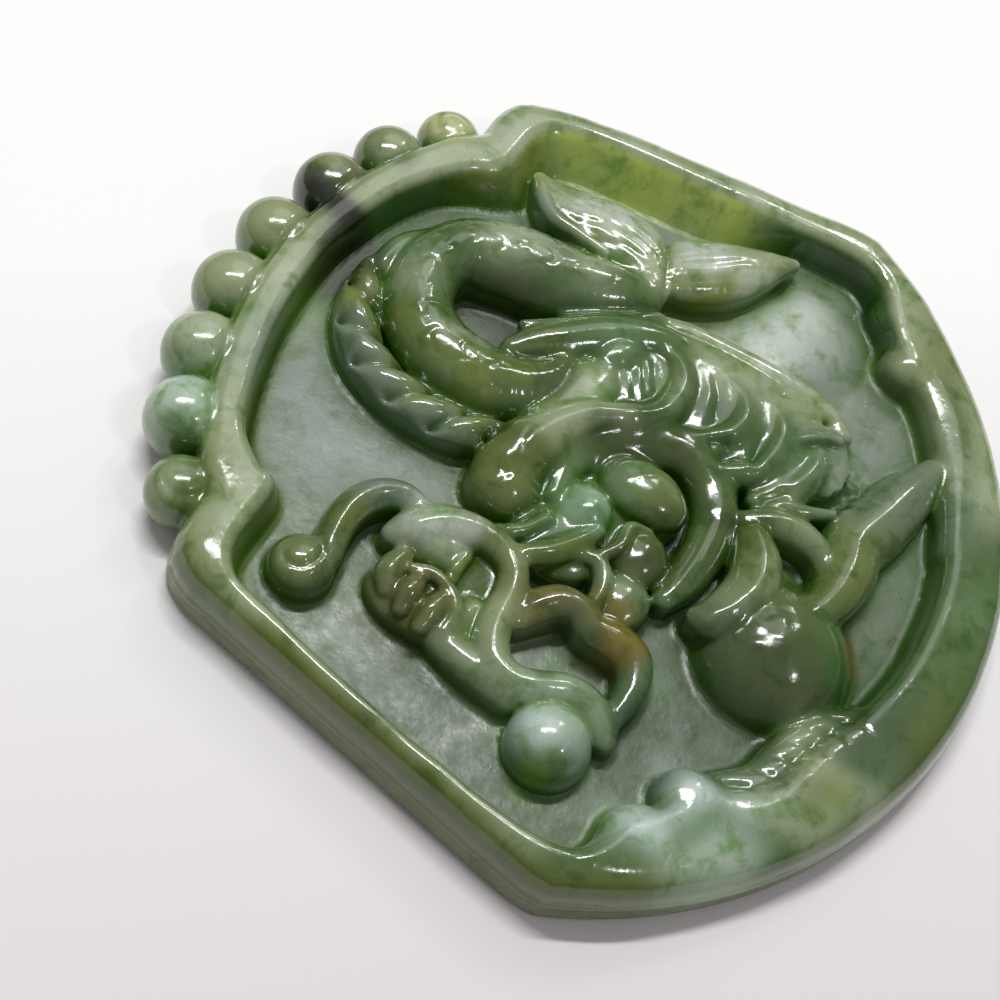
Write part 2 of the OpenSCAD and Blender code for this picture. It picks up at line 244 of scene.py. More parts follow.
# Middle lines of the rim's pieces, which share it out between them
RIM_LINES = {
    "rim_arch": arc(0, 0, 32.3, 120, 60, 16),
    "shoulder_left": [(-17.4, 25.4), (-24, 25)],
    "shoulder_right": [(17.4, 25.4), (24, 25)],
    "rim_left": [(-25, 22), (-30.2, -1.6)],
    "rim_right": [(25, 22), (30.2, -1.6)],
    "rim_bottom_left": arc(0, 10.5, 33, -158, -113, 12),
    "rim_bottom_middle": arc(0, 10.5, 33, -111, -69, 12),
    "rim_bottom_right": arc(0, 10.5, 33, -67, -22, 12),
}

# ---------------------------------------------------------------- the relief
# Each piece is a list of shapes; the number is how widely it melts into what is beside it.
RELIEF = {
    "whisker": (0.5, [
        Tube([(-12.4, 14.8, 0.7, 4.8), (-12.3, 16.4, 1, 5.2), (-13.2, 17.9, 1.15, 5.3),
              (-14.9, 18.8, 1.2, 5.3), (-16.8, 18.9, 1.1, 5.2), (-18.8, 18.6, 1.1, 5.1)], peak=1.4),
        Dome(-20.3, 19.5, 2.15, 2.2, 5.2)]),
    "nose_lobe": (0.6, [
        Tube([(-15.1, 15.6, 0.9, 4.8), (-14.3, 14.6, 1.6, 5.6), (-13.2, 13.4, 1.8, 5.9),
              (-12.5, 12, 1.6, 5.8), (-12.1, 10.6, 1.3, 5.6), (-12.2, 9.3, 1.1, 5.4)], peak=1.5),
        Dome(-14, 12.9, 2.2, 2.8, 5.1),
        Tube([(-16, 10.9, 0.5, 4.6), (-15.1, 11, 0.6, 4.9), (-14.1, 10.8, 0.5, 4.8)]),
        Dome(-14.6, 10.4, 3.4, 3.4, 3.9, crown=0.3)]),
    "upper_teeth": (0.4, [
        Tube([(-18.9, 14, 0.8, 4.8), (-17.8, 14.5, 1, 5.2), (-16.4, 14.3, 0.8, 5)], peak=1.4),
        Tube([(-19.7, 12.6, 0.7, 4.8), (-18.6, 12.7, 0.9, 5.3), (-17.5, 12.6, 0.6, 5.1)]),
        Tube([(-20.1, 11, 0.7, 4.8), (-18.9, 10.9, 0.9, 5.2), (-17.8, 10.7, 0.6, 5)]),
        Tube([(-17, 13.4, 0.4, 5), (-16.6, 12, 0.5, 5.1), (-17.1, 10.4, 0.5, 5),
              (-18.2, 9.5, 0.6, 4.9), (-19.4, 9.5, 0.6, 4.6)]),
        Dome(-18.3, 12, 2.4, 3.6, 4.3, crown=0.4)]),
    "lip_strand": (0.5, [
        Tube([(-12.1, 10, 1, 5.4), (-12.4, 8.7, 1.05, 5.4), (-13.4, 7.6, 1.05, 5.4),
              (-14.9, 7.1, 1.1, 5.3), (-16.6, 7, 1.15, 5.3), (-18.3, 6.7, 1.3, 5.3),
              (-19.7, 5.8, 1.35, 5.3), (-20.2, 4.3, 1.3, 5.3), (-19.8, 2.7, 1.25, 5.4),
              (-18.9, 1, 1.25, 5.3), (-18.8, -0.7, 1.25, 5.1), (-19.5, -2, 1.1, 4.8),
              (-20.3, -2.7, 0.8, 4.4)], peak=1.5),
        Tube([(-19.8, 9.5, 1.2, 4.4), (-20.5, 6.8, 1.3, 4.7), (-20.9, 4.2, 1.2, 4.6)]),
        Tube([(-19, 8.9, 1.2, 4.4), (-16.9, 8.7, 1, 4.3)])]),
    "lower_jaw": (0.5, [
        Tube([(-16.1, 5.7, 0.7, 4.7), (-14.7, 5.2, 1.2, 5.3), (-13.5, 4.1, 1.2, 5.5),
              (-13.3, 2.7, 1.1, 5.5), (-13.9, 1.3, 1.3, 5.3), (-13.8, -0.3, 1.5, 5.3),
              (-14.2, -1.8, 1.4, 5.1), (-15.6, -2.6, 1.15, 4.9), (-17.3, -2.7, 0.95, 4.7),
              (-18.8, -2.5, 0.7, 4.4)])]),
    "pearl": (0.25, [Dome(-22.5, 0.3, 2.85, 2.85, 5.9, crown=0.95, under=0.5)]),
    "muzzle_ridge": (0.5, [
        Tube([(-12.4, 2.1, 0.6, 4.9), (-11, 2.1, 0.7, 5), (-9.9, 2.5, 0.7, 5.1),
              (-9.2, 3.4, 0.65, 5), (-9.6, 4.8, 0.6, 4.8)], peak=1.4),
        Tube([(-11.7, 7.6, 0.8, 5.3), (-10.5, 6.2, 1, 5.4), (-8.8, 5, 1, 5.3),
              (-7.2, 4.2, 0.6, 5)], peak=1.4),
        Tube([(-10.9, 9.8, 0.6, 4.8), (-9.9, 8.5, 0.7, 4.8), (-8.4, 7.6, 0.8, 4.8)], peak=1.4),
        Dome(-10.6, 0.6, 2, 2, 4.7, crown=0.5),
        Dome(-9, 6.2, 2.8, 3.4, 4.5, crown=0.4)]),
    "eye_lump_upper": (0.5, [
        Dome(-6.1, 5.7, 2.5, 2.1, 4.9, crown=0.6), Dome(-5.9, 5.4, 1.7, 1.6, 5.4)]),
    "eye_lump_front": (0.3, [Dome(-2.4, 2.8, 2.5, 3.5, 5.9, turn=-6)]),
    "cheek_lump": (0.3, [
        Dome(-7.1, 0.9, 2.4, 2.1, 5.2),
        Tube([(-8.9, 3.4, 0.4, 4.9), (-7.6, 2.4, 0.6, 5.4), (-5.9, 2.4, 0.55, 5.4),
              (-5.3, 1.2, 0.4, 5)], peak=1.4)]),
    "horn_lobe": (0.5, [
        Tube([(-7.3, 11.2, 2.7, 5.5), (-5.8, 11.5, 2.6, 6), (-4, 11.3, 2.3, 6.2)], peak=1.9)]),
    "brow_ridge": (0.6, [
        Tube([(-4.2, 11.3, 2.2, 6.2), (-2.6, 10.6, 2.1, 6.3), (-1, 9.7, 1.9, 6.3),
              (0.4, 8.6, 1.6, 6.3), (1.3, 7.4, 1.4, 6.2), (2.1, 6.2, 1.3, 6.1)], peak=1.5),
        Dome(2.9, 9.6, 3.4, 1.8, 5.5, turn=-8, crown=0.5),
        Tube([(-1.5, 11.6, 1, 5.3), (1.2, 10.8, 1.1, 5.3), (4.4, 10.6, 0.9, 5.2)])]),
    "cheek_arc": (0.7, [
        Tube([(-6, 8.1, 0.8, 4.6), (-3.4, 8.2, 1.2, 4.8), (-0.9, 7.2, 1.6, 5.1),
              (1.1, 5.4, 1.8, 5.3), (2.3, 3.2, 1.9, 5.4), (2.5, 1, 1.9, 5.3),
              (1.5, -0.9, 1.8, 5.1), (-0.4, -2.2, 1.6, 4.9)], crown=0.85, peak=1.8),
        Dome(-3, 4.4, 5.4, 4.6, 4, crown=0.4)]),
    "mane_lock_1": (0.6, [
        Tube([(2.1, 6, 1.2, 6.1), (3.1, 4.9, 1.3, 6.1), (4.4, 4.2, 1.3, 6), (6, 4, 1.25, 6),
              (7.6, 4.3, 1.1, 5.9), (8.8, 5.2, 0.9, 5.7), (9.3, 6.4, 0.6, 5.4)], peak=1.5),
        Dome(5.8, 7.0, 3.6, 2.3, 5.3, crown=0.5)]),
    "mane_lock_2": (0.6, [
        Tube([(3.5, 2.3, 0.7, 5.2), (4.2, 0.6, 1.1, 5.5), (5.6, -0.6, 1.35, 5.7),
              (7.3, -0.9, 1.35, 5.7), (8.9, -0.3, 1.1, 5.5), (9.9, 1, 0.7, 5.1)], peak=1.5),
        Dome(6.9, 1.7, 3.8, 2.0, 5.3, crown=0.5)]),
    "mane_lock_3": (0.6, [
        Tube([(2.7, -1.4, 0.8, 5.1), (3.5, -2.7, 1.15, 5.4), (5, -3.7, 1.3, 5.5),
              (6.9, -4, 1.3, 5.5), (8.7, -3.5, 1.05, 5.4), (9.9, -2.4, 0.6, 5)], peak=1.5),
        Dome(6.5, -2.4, 3.8, 1.6, 5.1, crown=0.5)]),
    "mane_lock_4": (0.6, [
        Tube([(2.1, -4.4, 0.8, 4.8), (3.3, -5.6, 1.15, 5.1), (5.2, -6.6, 1.35, 5.3),
              (7.2, -7, 1.25, 5.2), (8.8, -6.7, 0.9, 4.9)], peak=1.5),
        Tube([(8.1, -5, 0.6, 5.1), (9.4, -6.2, 0.8, 5.1), (10.6, -7.7, 0.6, 4.7)], peak=1.4),
        Dome(6.3, -5.3, 4.2, 1.8, 5.0, crown=0.5)]),
    "mane_fringe": (0.6, [
        Tube([(12, 8, 0.8, 4.6), (12.7, 5.5, 1, 4.7), (13, 2.5, 1.1, 4.7), (13.2, -0.5, 1.1, 4.7),
              (13.2, -3.5, 1.1, 4.6), (12.8, -6, 1, 4.4), (11.7, -8, 0.8, 4.2)], peak=2),
        Tube([(8, 7.4, 3, 4.9), (8.4, 4, 4.2, 5.1), (8.4, 0, 4.7, 5.1), (8.2, -4, 4.5, 4.9),
              (8.4, -6.4, 3.4, 4.3)], crown=0.22, peak=2)]),
    "body_neck": (0.6, [
        Tube([(3, 15.9, 0.9, 5.1), (4.6, 14.6, 1.5, 5.5), (6.4, 12.7, 2, 5.7),
              (8.1, 10.8, 2.1, 5.8), (9.4, 8.7, 1.8, 5.8), (10.2, 6.8, 1.4, 5.6),
              (10.3, 5, 1, 5.2)], peak=1.8),
        Tube([(5.2, 16.2, 0.4, 5), (8.4, 12.2, 0.55, 5.2), (12.1, 8.2, 0.5, 5)], peak=1.4),
        Dome(7, 9.1, 2, 1.4, 5.7, turn=-40),
        Dome(9.6, 11, 4, 2, 4.7, turn=-52, crown=0.3)]),
    "body_coil": (0.5, [
        Tube([(5.4, 12.4, 1, 4.8), (2.6, 12.4, 1.8, 5.3), (0.2, 14.4, 2.7, 5.8),
              (-0.5, 17.6, 3, 6.2), (0, 20.6, 3, 6.3), (2.2, 23.2, 2.7, 6.3),
              (5.6, 24, 2.6, 6.3), (8.6, 22.9, 3, 6.3), (10.3, 20, 3.6, 6.3),
              (11, 17, 3.7, 6.2), (11.8, 14, 3.2, 6), (12.9, 11.4, 2.4, 5.6),
              (14, 9.7, 1.5, 5)], peak=1.8, under=0.3)]),
    "dorsal_fin": (0.5, [
        Tube([(3.4, 27.6, 0.9, 4.7), (1.2, 27.1, 1.5, 5.1), (-1.4, 26.2, 1.7, 5.3),
              (-3.6, 24.3, 1.7, 5.4), (-4.9, 21.5, 1.7, 5.4), (-5.3, 18.5, 1.7, 5.3),
              (-5, 15.8, 1.6, 5.1), (-4, 13.8, 1.1, 4.8)], peak=1.8),
        Tube([(3.2, 27.1, 0.9, 4.8), (5, 27, 1, 4.9), (7, 26.6, 0.9, 4.8), (8.9, 25.4, 0.5, 4.5)],
             peak=1.5)]),
    "tail_fin_upper": (0.5, [
        Tube([(18.8, 21.6, 0.4, 4.6), (17.9, 19.4, 1.7, 5), (17.5, 16.8, 2.8, 5.3),
              (17.7, 14, 3.3, 5.4), (17.1, 11.4, 2.9, 5.3), (15.2, 9.8, 1.6, 5.1)],
             crown=0.6, peak=2),
        Tube([(18.9, 21.4, 0.4, 4.8), (17.1, 20.3, 0.6, 5.1), (15.6, 18.9, 0.6, 5.4),
              (15, 16.6, 0.5, 5.6), (14.6, 14, 0.4, 5.6)], peak=1.5)]),
    "tail_fin_lower": (0.5, [
        Tube([(17, 9.6, 2.2, 5), (18.5, 7.9, 3.1, 5.2), (20, 5.9, 3, 5.2), (21.8, 3.9, 2.1, 5),
              (23.3, 2.4, 1.2, 4.7), (24.5, 1.2, 0.5, 4.3)], crown=0.6, peak=2)]),
    "chin_folds": (0.5, [
        Tube([(-8.8, -1.9, 0.8, 4.5), (-6.4, -2.5, 1.4, 4.8), (-3.6, -2.8, 1.6, 4.9),
              (-1, -2.6, 1.6, 4.9), (1.4, -1.8, 1.3, 4.9)], crown=0.85, peak=1.7)]),
    "belly": (0.5, [
        Dome(-7.6, -10.2, 6.5, 6.2, 6.2, crown=1, turn=-12),
        Tube([(-9, -4.5, 0.9, 5.1), (-8.7, -5.3, 1.4, 5.6), (-7.2, -6.3, 1.9, 6.1),
              (-5, -6.8, 2, 6.3), (-2.8, -6.3, 1.8, 6.1), (-1.2, -5.3, 1.2, 5.7)], peak=1.4)]),
    "belly_leaf": (0.4, [
        Tube([(0, -4.3, 0.8, 5), (0.9, -6, 1.2, 5.3), (1.4, -7.9, 1.3, 5.3),
              (1, -9.6, 1.1, 5.1), (0, -10.6, 0.8, 4.9)], peak=1.5),
        Tube([(1.9, -4.4, 0.5, 4.8), (2.6, -6, 0.7, 4.9), (3.4, -8, 0.6, 4.8),
              (4.4, -9.6, 0.4, 4.6)], peak=1.4)]),
    "lower_body": (0.5, [
        Tube([(-4.4, -11.2, 1, 5.5), (-2.2, -12, 1.7, 5.7), (0.6, -12.2, 2.2, 5.6),
              (3.4, -12, 2.5, 5.3), (6.4, -13, 2.5, 5.2), (9.6, -14, 2.1, 5.1),
              (13, -15, 1.1, 4.6)], peak=1.7)]),
    "ground_mound": (1.4, [Dome(19.4, -2.2, 4.6, 4.6, 2.85, crown=0.2)]),
    "rock_left": (0.6, [
        Tube([(-28.4, -5, 0.8, 5.3), (-26.9, -5.9, 1.2, 5.2), (-25, -6.4, 1.6, 5.1),
              (-23.9, -7.1, 1.2, 4.8)], peak=1.4),
        Dome(-25.4, -8, 2.6, 2.4, 4.9, crown=0.6)]),
    "rock_lobe": (0.5, [Dome(-20.9, -9.1, 2.1, 2.4, 5.2)]),
    "rock_wave": (0.7, [
        Tube([(-21, -10.4, 1.9, 5), (-20.3, -12.4, 2, 5.1), (-18.4, -14.2, 1.9, 5.1),
              (-15.8, -15.2, 1.7, 5), (-13.2, -16.2, 1.4, 4.7), (-10.8, -17.4, 0.9, 4.3)],
             peak=1.5),
        Tube([(-18.8, -10.4, 1, 4), (-17.1, -12.6, 1.4, 4.3), (-14.4, -13.6, 1.5, 4.3),
              (-11.6, -14.8, 1.3, 4.1), (-8.8, -16.8, 0.7, 3.6)], peak=1.8)]),
    "rock_right": (0.6, [
        Dome(25.6, -8, 2.5, 2.3, 4.9, crown=0.6), Dome(21, -10.4, 2.1, 2.3, 5.1)]),
    "wave_right": (0.7, [
        Tube([(20.8, -12.2, 1.7, 4.9), (18.2, -14.6, 1.9, 5), (14.8, -16.4, 1.8, 4.9),
              (11, -17.6, 1.4, 4.6), (7, -18.4, 0.9, 4.2)], peak=1.5)]),
}

# Angle of each bead on the arch, and its radius
BEADS = [(124.2, 2.45), (115.2, 2.85), (106.2, 2.9), (96.5, 2.9), (86.5, 2.9), (75.9, 2.85),
         (66.3, 2.7), (57.0, 2.45)]


class Bead:
    """One ball of the row along the arch, a little flat on top."""

    def __init__(self, angle, radius):
        angle = math.radians(angle)
        self.radius = radius
        self.x, self.y = BEAD_RING * math.cos(angle), BEAD_RING * math.sin(angle)
        self.low = np.array([self.x - radius, self.y - radius])
        self.high = np.array([self.x + radius, self.y + radius])
        self.top = 2 * radius

    def field(self, box):
        x, y = plan(box)
        z = np.abs(AXES[2][box[2]][None, None, :] - self.radius)
        flat = np.hypot(x - self.x, y - self.y)[:, :, None]
        return (flat ** 2.25 + z ** 2.25) ** (1 / 2.25) - self.radius


for bead, (angle, radius) in enumerate(BEADS, 1):
    RELIEF[f"bead_{bead}"] = (0.25, [Bead(angle, radius)])


# ---------------------------------------------------------------- engraving
carve = np.zeros(tuple(COUNT[:2]))


def engrave(points, width=0.16, depth=0.16):
    """A groove along a stroke, fading at both ends; a negative depth raises a line."""
    curve = spline([(p[0], p[1], width, 0) for p in points])
    box = window(np.append(curve[:, :2].min(0) - 4 * width - CELL, 0),
                 np.append(curve[:, :2].max(0) + 4 * width + CELL, 1))
    x, y = plan(box)
    d, _, _, _, along = nearest(curve, x, y)
    total = np.hypot(*np.diff(curve[:, :2], axis=0).T).sum()
    fade = np.clip(np.minimum(along, total - along) / (0.25 * total) + 0.25, 0, 1)
    carve[box[0], box[1]] += depth * fade * np.exp(-(d / width) ** 2)


def along_route(route, pattern, reach=0.9):
    """Adds a pattern of (side, along, half width) to the top of a bar."""
    curve = spline(route)
    box = window(np.append(curve[:, :2].min(0) - 4, 0), np.append(curve[:, :2].max(0) + 4, 1))
    x, y = plan(box)
    d, r, _, side, along = nearest(curve, x, y)
    mask = np.clip((reach * r - d) / (0.25 * r + 1e-6), 0, 1)
    carve[box[0], box[1]] += mask * pattern(side, along, r)


def scalloped(side, along, r):
    """Overlapping spines: a saw-tooth along the bar."""
    turn = (along / 3.2 - 0.45 * side / np.maximum(r, 0.3)) % 1
    return 0.6 * np.abs(2 * turn - 1) ** 2.5


def hairs(pitch, depth):
    """Fine grooves running along a bar."""
    def pattern(side, along, r):
        wave = 0.5 + 0.5 * np.cos(2 * np.pi * (side + 0.15 * np.sin(along * 0.9)) / pitch)
        return depth * wave ** 3
    return pattern


def scales(side, along, r):
    """Shallow overlapping arcs of a scaled skin."""
    u, v = along / 2.1, side / 1.7
    row = np.floor(u)
    v = (v + 0.5 * (row % 2)) % 1 - 0.5
    edge = np.abs((u - row) - (0.15 + 0.8 * np.sqrt(np.clip(1 - 4 * v * v, 0, 1))))
    return 0.11 * np.exp(-(edge / 0.12) ** 2)


ROUTE_PATTERNS = [
    ([(3.4, 27.6, 1), (1.2, 27.1, 1.6), (-1.4, 26.2, 1.8), (-3.6, 24.3, 1.8), (-4.9, 21.5, 1.8),
      (-5.3, 18.5, 1.8), (-5, 15.8, 1.7), (-4, 13.8, 1.2)], scalloped),
    ([(18.8, 21.6, 0.4), (17.9, 19.4, 1.7), (17.5, 16.8, 2.8), (17.6, 14, 3.2),
      (16.9, 11.4, 2.7), (15.2, 9.8, 1.4)], hairs(0.8, 0.07)),
    ([(17, 9.6, 2.2), (18.5, 7.9, 3.1), (20, 5.9, 3), (21.8, 3.9, 2.1), (24.5, 1.2, 0.5)],
     hairs(0.8, 0.07)),
    ([(0.3, 14.6, 2.7), (-0.2, 17.6, 2.8), (0.2, 20.5, 2.8), (2.4, 23.1, 2.6), (5.6, 24, 2.6),
      (8.8, 22.8, 2.9), (10.8, 20, 3.15), (11.7, 17, 3.2), (12.2, 14, 2.8)], scales),
]
for route, pattern in ROUTE_PATTERNS:
    along_route([(x, y, r, 0) for x, y, r in route], pattern)

STROKES = [
    # the whisker's ball, the horn's ring and its long line
    ([(-18.3, 19.7), (-18.8, 18.9), (-20, 18.7), (-21.1, 19.2), (-21.2, 20.3), (-20.4, 20.8),
      (-19.6, 20.4)], 0.2, 0.25),
    (arc(-5.8, 9.5, 0.45, 0, 350, 14), 0.12, 0.16),
    (arc(-5.9, 9.7, 1.0, 150, 400, 14), 0.14, 0.12),
    ([(-8.2, 11.4), (-6.2, 11.3), (-4.2, 11.7), (-2.4, 11.3)], 0.14, 0.14),
    # folds round the eye lumps
    ([(-4.6, 4.4), (-4.9, 2.8), (-4.7, 1)], 0.14, 0.15),
    ([(-3.4, 5.9), (-1.2, 5.1), (-0.2, 3.5), (-0.1, 0.6)], 0.12, 0.14),
    ([(-2.8, 4), (-1.5, 2.4), (-1.9, 0.4)], 0.12, -0.12),
    # flowing lines of the two tail fins, and the crease between them
    ([(17.2, 18.4), (18.9, 15.8), (19.5, 13.1), (18.4, 10.9)], 0.3, 0.15),
    ([(16, 17.4), (17.3, 15), (17.8, 12.6), (17, 10.4)], 0.3, 0.14),
    ([(15.6, 15), (16.3, 13), (16.1, 10.8)], 0.28, 0.12),
    ([(17.6, 8.7), (19.4, 6.3), (22.2, 4.2)], 0.3, 0.14),
    ([(16.6, 7.9), (18.5, 5.7), (20.6, 4.2)], 0.28, 0.12),
    ([(14, 8.5), (16, 9.3), (18.5, 10.1), (21, 11)], 0.26, 0.4),
    # swirls on the first and last beads
    (arc(-19.5, 28.7, 1.4, 90, 300, 14), 0.2, 0.16),
    (arc(18.9, 29.2, 1.2, -80, 170, 14), 0.2, 0.16),
    # the arch's double line
    (arc(0, 0, 33.5, 120, 60, 24), 0.14, 0.2),
    (arc(0, 0, 33.0, 120, 60, 24), 0.12, 0.12),
]
for points, width, depth in STROKES:
    engrave(points, width, depth)

for k in range(3):  # ribs in the hollow above the first lock, and faint lines on the chin
    engrave([(6.4 + 0.7 * k, 7.9 - 0.6 * k), (5.2 + 0.75 * k, 7.3 - 0.5 * k),
             (3.8 + 0.85 * k, 6.5 - 0.4 * k)], 0.3, 0.26)
    engrave([(-7.8, -1.9 - 0.5 * k), (-4.8, -2.2 - 0.5 * k), (-1.4, -2 - 0.5 * k)], 0.14, 0.14)
LEAVES = [
    [(10.1, -0.5), (10.8, -1.7), (11.9, -3)], [(7.5, -5.2), (9.2, -6.5), (10, -8.1)],
    [(3.7, 0.8), (4.3, 0), (4.8, -1.1)], [(1.7, -4.4), (2.7, -5.3), (4, -6.2)],
    [(3.7, -3), (5.6, -2.7), (7.3, -2.6)], [(5.8, 1), (8, 1.5), (9.8, 2.6)],
    [(10.9, -4.6), (11.4, -5.8), (12, -6.8)],
]
for points in LEAVES:  # leaf-shaped hollows between the locks
    engrave(points, 0.42, 0.5)
pitted = blur(rng.standard_normal(carve.shape), 0.28 / CELL)
pitted *= 0.16 / pitted.std()
rough_spot = ((AXES[0][:, None] - 7.9) / 2.7) ** 2 + ((AXES[1][None, :] + 10) / 1.5) ** 2
carve += pitted * np.exp(-rough_spot ** 2)
worn_spot = ((AXES[0][:, None] + 6.5) / 3.5) ** 2 + ((AXES[1][None, :] + 8.2) / 2) ** 2
carve += 0.2 * pitted * np.exp(-worn_spot ** 2)

for k in range(6):  # water lines across the rock wave's skirt
    t = k / 5
    x, y = -18.9 + 8.4 * t, -11 - 4.6 * t
    engrave([(x, y + 0.6), (x + 0.5, y - 0.8), (x + 0.2, y - 2.2)], 0.22, 0.14)

# ---------------------------------------------------------------- the field and its labels
x2, y2 = plan(WHOLE)
from_edge = inside(outline(), x2, y2).astype(np.float32)
from_well = inside(well(), x2, y2).astype(np.float32)
Z = AXES[2].astype(np.float32)[None, None, :]
EDGE = from_edge[:, :, None]

ground = smax(Z - GROUND_Z, -EDGE, 0.3).astype(np.float32)
gentle = np.clip((x2 - 13) / 4, 0, 1) * np.clip((y2 - 1) / 6, 0, 1)  # the right wall leans out
dish = from_well[:, :, None] + (0.22 + 0.62 * gentle)[:, :, None] * (Z - RIM_Z)
from_line = np.array([nearest(np.array([p + (0, 0) for p in line]), x2, y2)[0]
                      for line in RIM_LINES.values()], np.float32)
rim_part = np.argmin(from_line, axis=0)
rounding = blur(np.where(rim_part == 0, 1.5, 2.7).astype(np.float32), 1.0 / CELL)[:, :, None]
low_foot = np.clip((-6 - y2) / 8, 0, 1)[:, :, None] * 0.7
rim = smax(smax(Z - RIM_Z + low_foot, -EDGE, rounding), dish, 0.9).astype(np.float32)
from_line = 0.5 * (from_line - from_line.min(0))

NODES = ["base_slab"] + list(RIM_LINES) + list(RELIEF)
total = smin(ground, rim, 0.5)
first = np.full(total.shape, FAR, np.float32)   # distance of the nearest piece
second = np.full(total.shape, FAR, np.float32)  # and of the next one
label = np.zeros(total.shape, np.uint8)


def joined(shapes, box):
    """Distance of a piece's shapes, melted a little into each other."""
    distance = shapes[0].field(box)
    for shape in shapes[1:]:
        distance = smin(distance, shape.field(box), 0.35)
    return distance


def claim(number, box, distance):
    """Enters a piece into the running nearest and next-nearest distances."""
    a, b, mine = first[box], second[box], label[box]
    wins = distance < a
    second[box] = np.where(wins, a, np.minimum(b, distance))
    first[box] = np.where(wins, distance, a)
    label[box] = np.where(wins, number, mine)


claim(0, WHOLE, np.maximum(Z - GROUND_Z, -EDGE))
for number in range(len(RIM_LINES)):
    claim(1 + number, WHOLE, np.maximum(rim + from_line[number][:, :, None], STAND - Z))

REACH = 1.4
boxes = {}
for number, (node, (melt, shapes)) in enumerate(RELIEF.items(), 1 + len(RIM_LINES)):
    low = np.min([s.low for s in shapes], 0) - REACH
    high = np.max([s.high for s in shapes], 0) + REACH
    top = max(s.top for s in shapes) + 0.8
    box = window((low[0], low[1], 1.0), (high[0], high[1], top))
    boxes[node] = box
    distance = joined(shapes, box).astype(np.float32)
    total[box] = smin(total[box], distance, melt)
    claim(number, box, np.maximum(distance, STAND - Z[:, :, box[2]]))

carve_depth = np.clip((Z - 1.2) / 0.8, 0, 1) * carve[:, :, None].astype(np.float32)
total = smax(total + carve_depth, -Z, 0.5).astype(np.float32)

uneven = blur(rng.standard_normal(x2.shape).astype(np.float32), 1.3 / CELL)
uneven *= 0.028 / uneven.std()
total = blur(total + uneven[:, :, None] * np.clip((Z - 1) / 1.5, 0, 1), 0.09 / CELL)
# the stone's filling blurred at two sizes; from these the material paints shade in hollows and a
# sheen on crests
solid = np.clip(0.5 - total / CELL, 0, 1)
hollow_fine = blur(solid, 0.35 / CELL)
hollow_wide = blur(hollow_fine, 1.1 / CELL)
slope = [g.astype(np.float32) for g in np.gradient(total, CELL)]


# ---------------------------------------------------------------- from field to mesh
def sample(field, at, low, cell):
    """Values of a grid at points, by trilinear interpolation."""
    p = (at - low) / cell
    i = np.clip(p.astype(int), 0, np.array(field.shape) - 2)
    f = p - i
    value = 0
    for corner in range(8):
        dx, dy, dz = corner & 1, corner >> 1 & 1, corner >> 2
        weight = (np.where(dx, f[:, 0], 1 - f[:, 0]) * np.where(dy, f[:, 1], 1 - f[:, 1])
                  * np.where(dz, f[:, 2], 1 - f[:, 2]))
        value = value + weight * field[i[:, 0] + dx, i[:, 1] + dy, i[:, 2] + dz]
    return value


def skin(field, low, cell):
    """The closed surface of a grid of distances, as vertices and four-sided faces."""
    sign = field < 0
    corners = [sign[i:sign.shape[0] - 1 + i, j:sign.shape[1] - 1 + j, k:sign.shape[2] - 1 + k]
               for i in (0, 1) for j in (0, 1) for k in (0, 1)]
    count = sum(c.astype(np.int8) for c in corners)
    mixed = (count > 0) & (count < 8)
    index = np.full(mixed.shape, -1, np.int64)
    cells = np.argwhere(mixed)
    index[mixed] = np.arange(len(cells))
    sums = np.zeros((len(cells), 3))
    hits = np.zeros(len(cells))
    for axis in range(3):
        u, v = [a for a in range(3) if a != axis]
        for du in (0, 1):
            for dv in (0, 1):
                a = cells.copy()
                a[:, u] += du
                a[:, v] += dv
                b = a.copy()
                b[:, axis] += 1
                va, vb = field[tuple(a.T)], field[tuple(b.T)]
                cross = (va < 0) != (vb < 0)
                t = np.where(cross, va / np.where(cross, va - vb, 1), 0)
                spot = a.astype(float)
                spot[:, axis] += t
                sums += spot * cross[:, None]
                hits += cross
    points = sums / hits[:, None] * cell + low
    faces = []
    for axis in range(3):
        u, v = (axis + 1) % 3, (axis + 2) % 3
        shape = list(sign.shape)
        lo_cut, hi_cut = [slice(1, -1)] * 3, [slice(1, -1)] * 3
        lo_cut[axis], hi_cut[axis] = slice(0, shape[axis] - 1), slice(1, shape[axis])
        a, b = sign[tuple(lo_cut)], sign[tuple(hi_cut)]
        for want, order in ((a & ~b, 1), (~a & b, -1)):
            at = np.argwhere(want)
            at[:, u] += 1
            at[:, v] += 1
            ring = []
            for du, dv in ((-1, -1), (0, -1), (0, 0), (-1, 0))[::order]:
                c = at.copy()
                c[:, u] += du
                c[:, v] += dv
                ring.append(index[tuple(c.T)])
            faces.append(np.stack(ring, 1))
    return points, np.concatenate(faces)


def row_frame(points):
    """From the arch's frame in millimetres to the row frame in metres."""
    return (points - np.array([0, MID_Y, 0])) * MM


# Linear colours of the seven finishes
STONE = {
    "jade_green": (0.066, 0.126, 0.022),
    "jade_olive": (0.12, 0.165, 0.03),
    "jade_pale": (0.265, 0.32, 0.155),
    "jade_ground": (0.105, 0.155, 0.085),
    "jade_mint": (0.36, 0.47, 0.33),
    "jade_amber": (0.15, 0.12, 0.01),
    "jade_dark": (0.09, 0.1, 0.03),
}
VIVID = (0.022, 0.09, 0.002)
OLIVE = (0.1, 0.135, 0.01)
YELLOWISH = (0.16, 0.205, 0.016)
MOSS = (0.04, 0.066, 0.003)
SAGE = (0.33, 0.395, 0.235)
CREAM = (0.43, 0.44, 0.19)
GREYISH = (0.17, 0.225, 0.18)
TEAL = (0.042, 0.088, 0.036)
SEA = (0.12, 0.21, 0.085)
DARK = (0.008, 0.009, 0.006)
MINT = (0.44, 0.54, 0.45)
BROWN = (0.11, 0.1, 0.024)
PALM = (0.29, 0.335, 0.165)
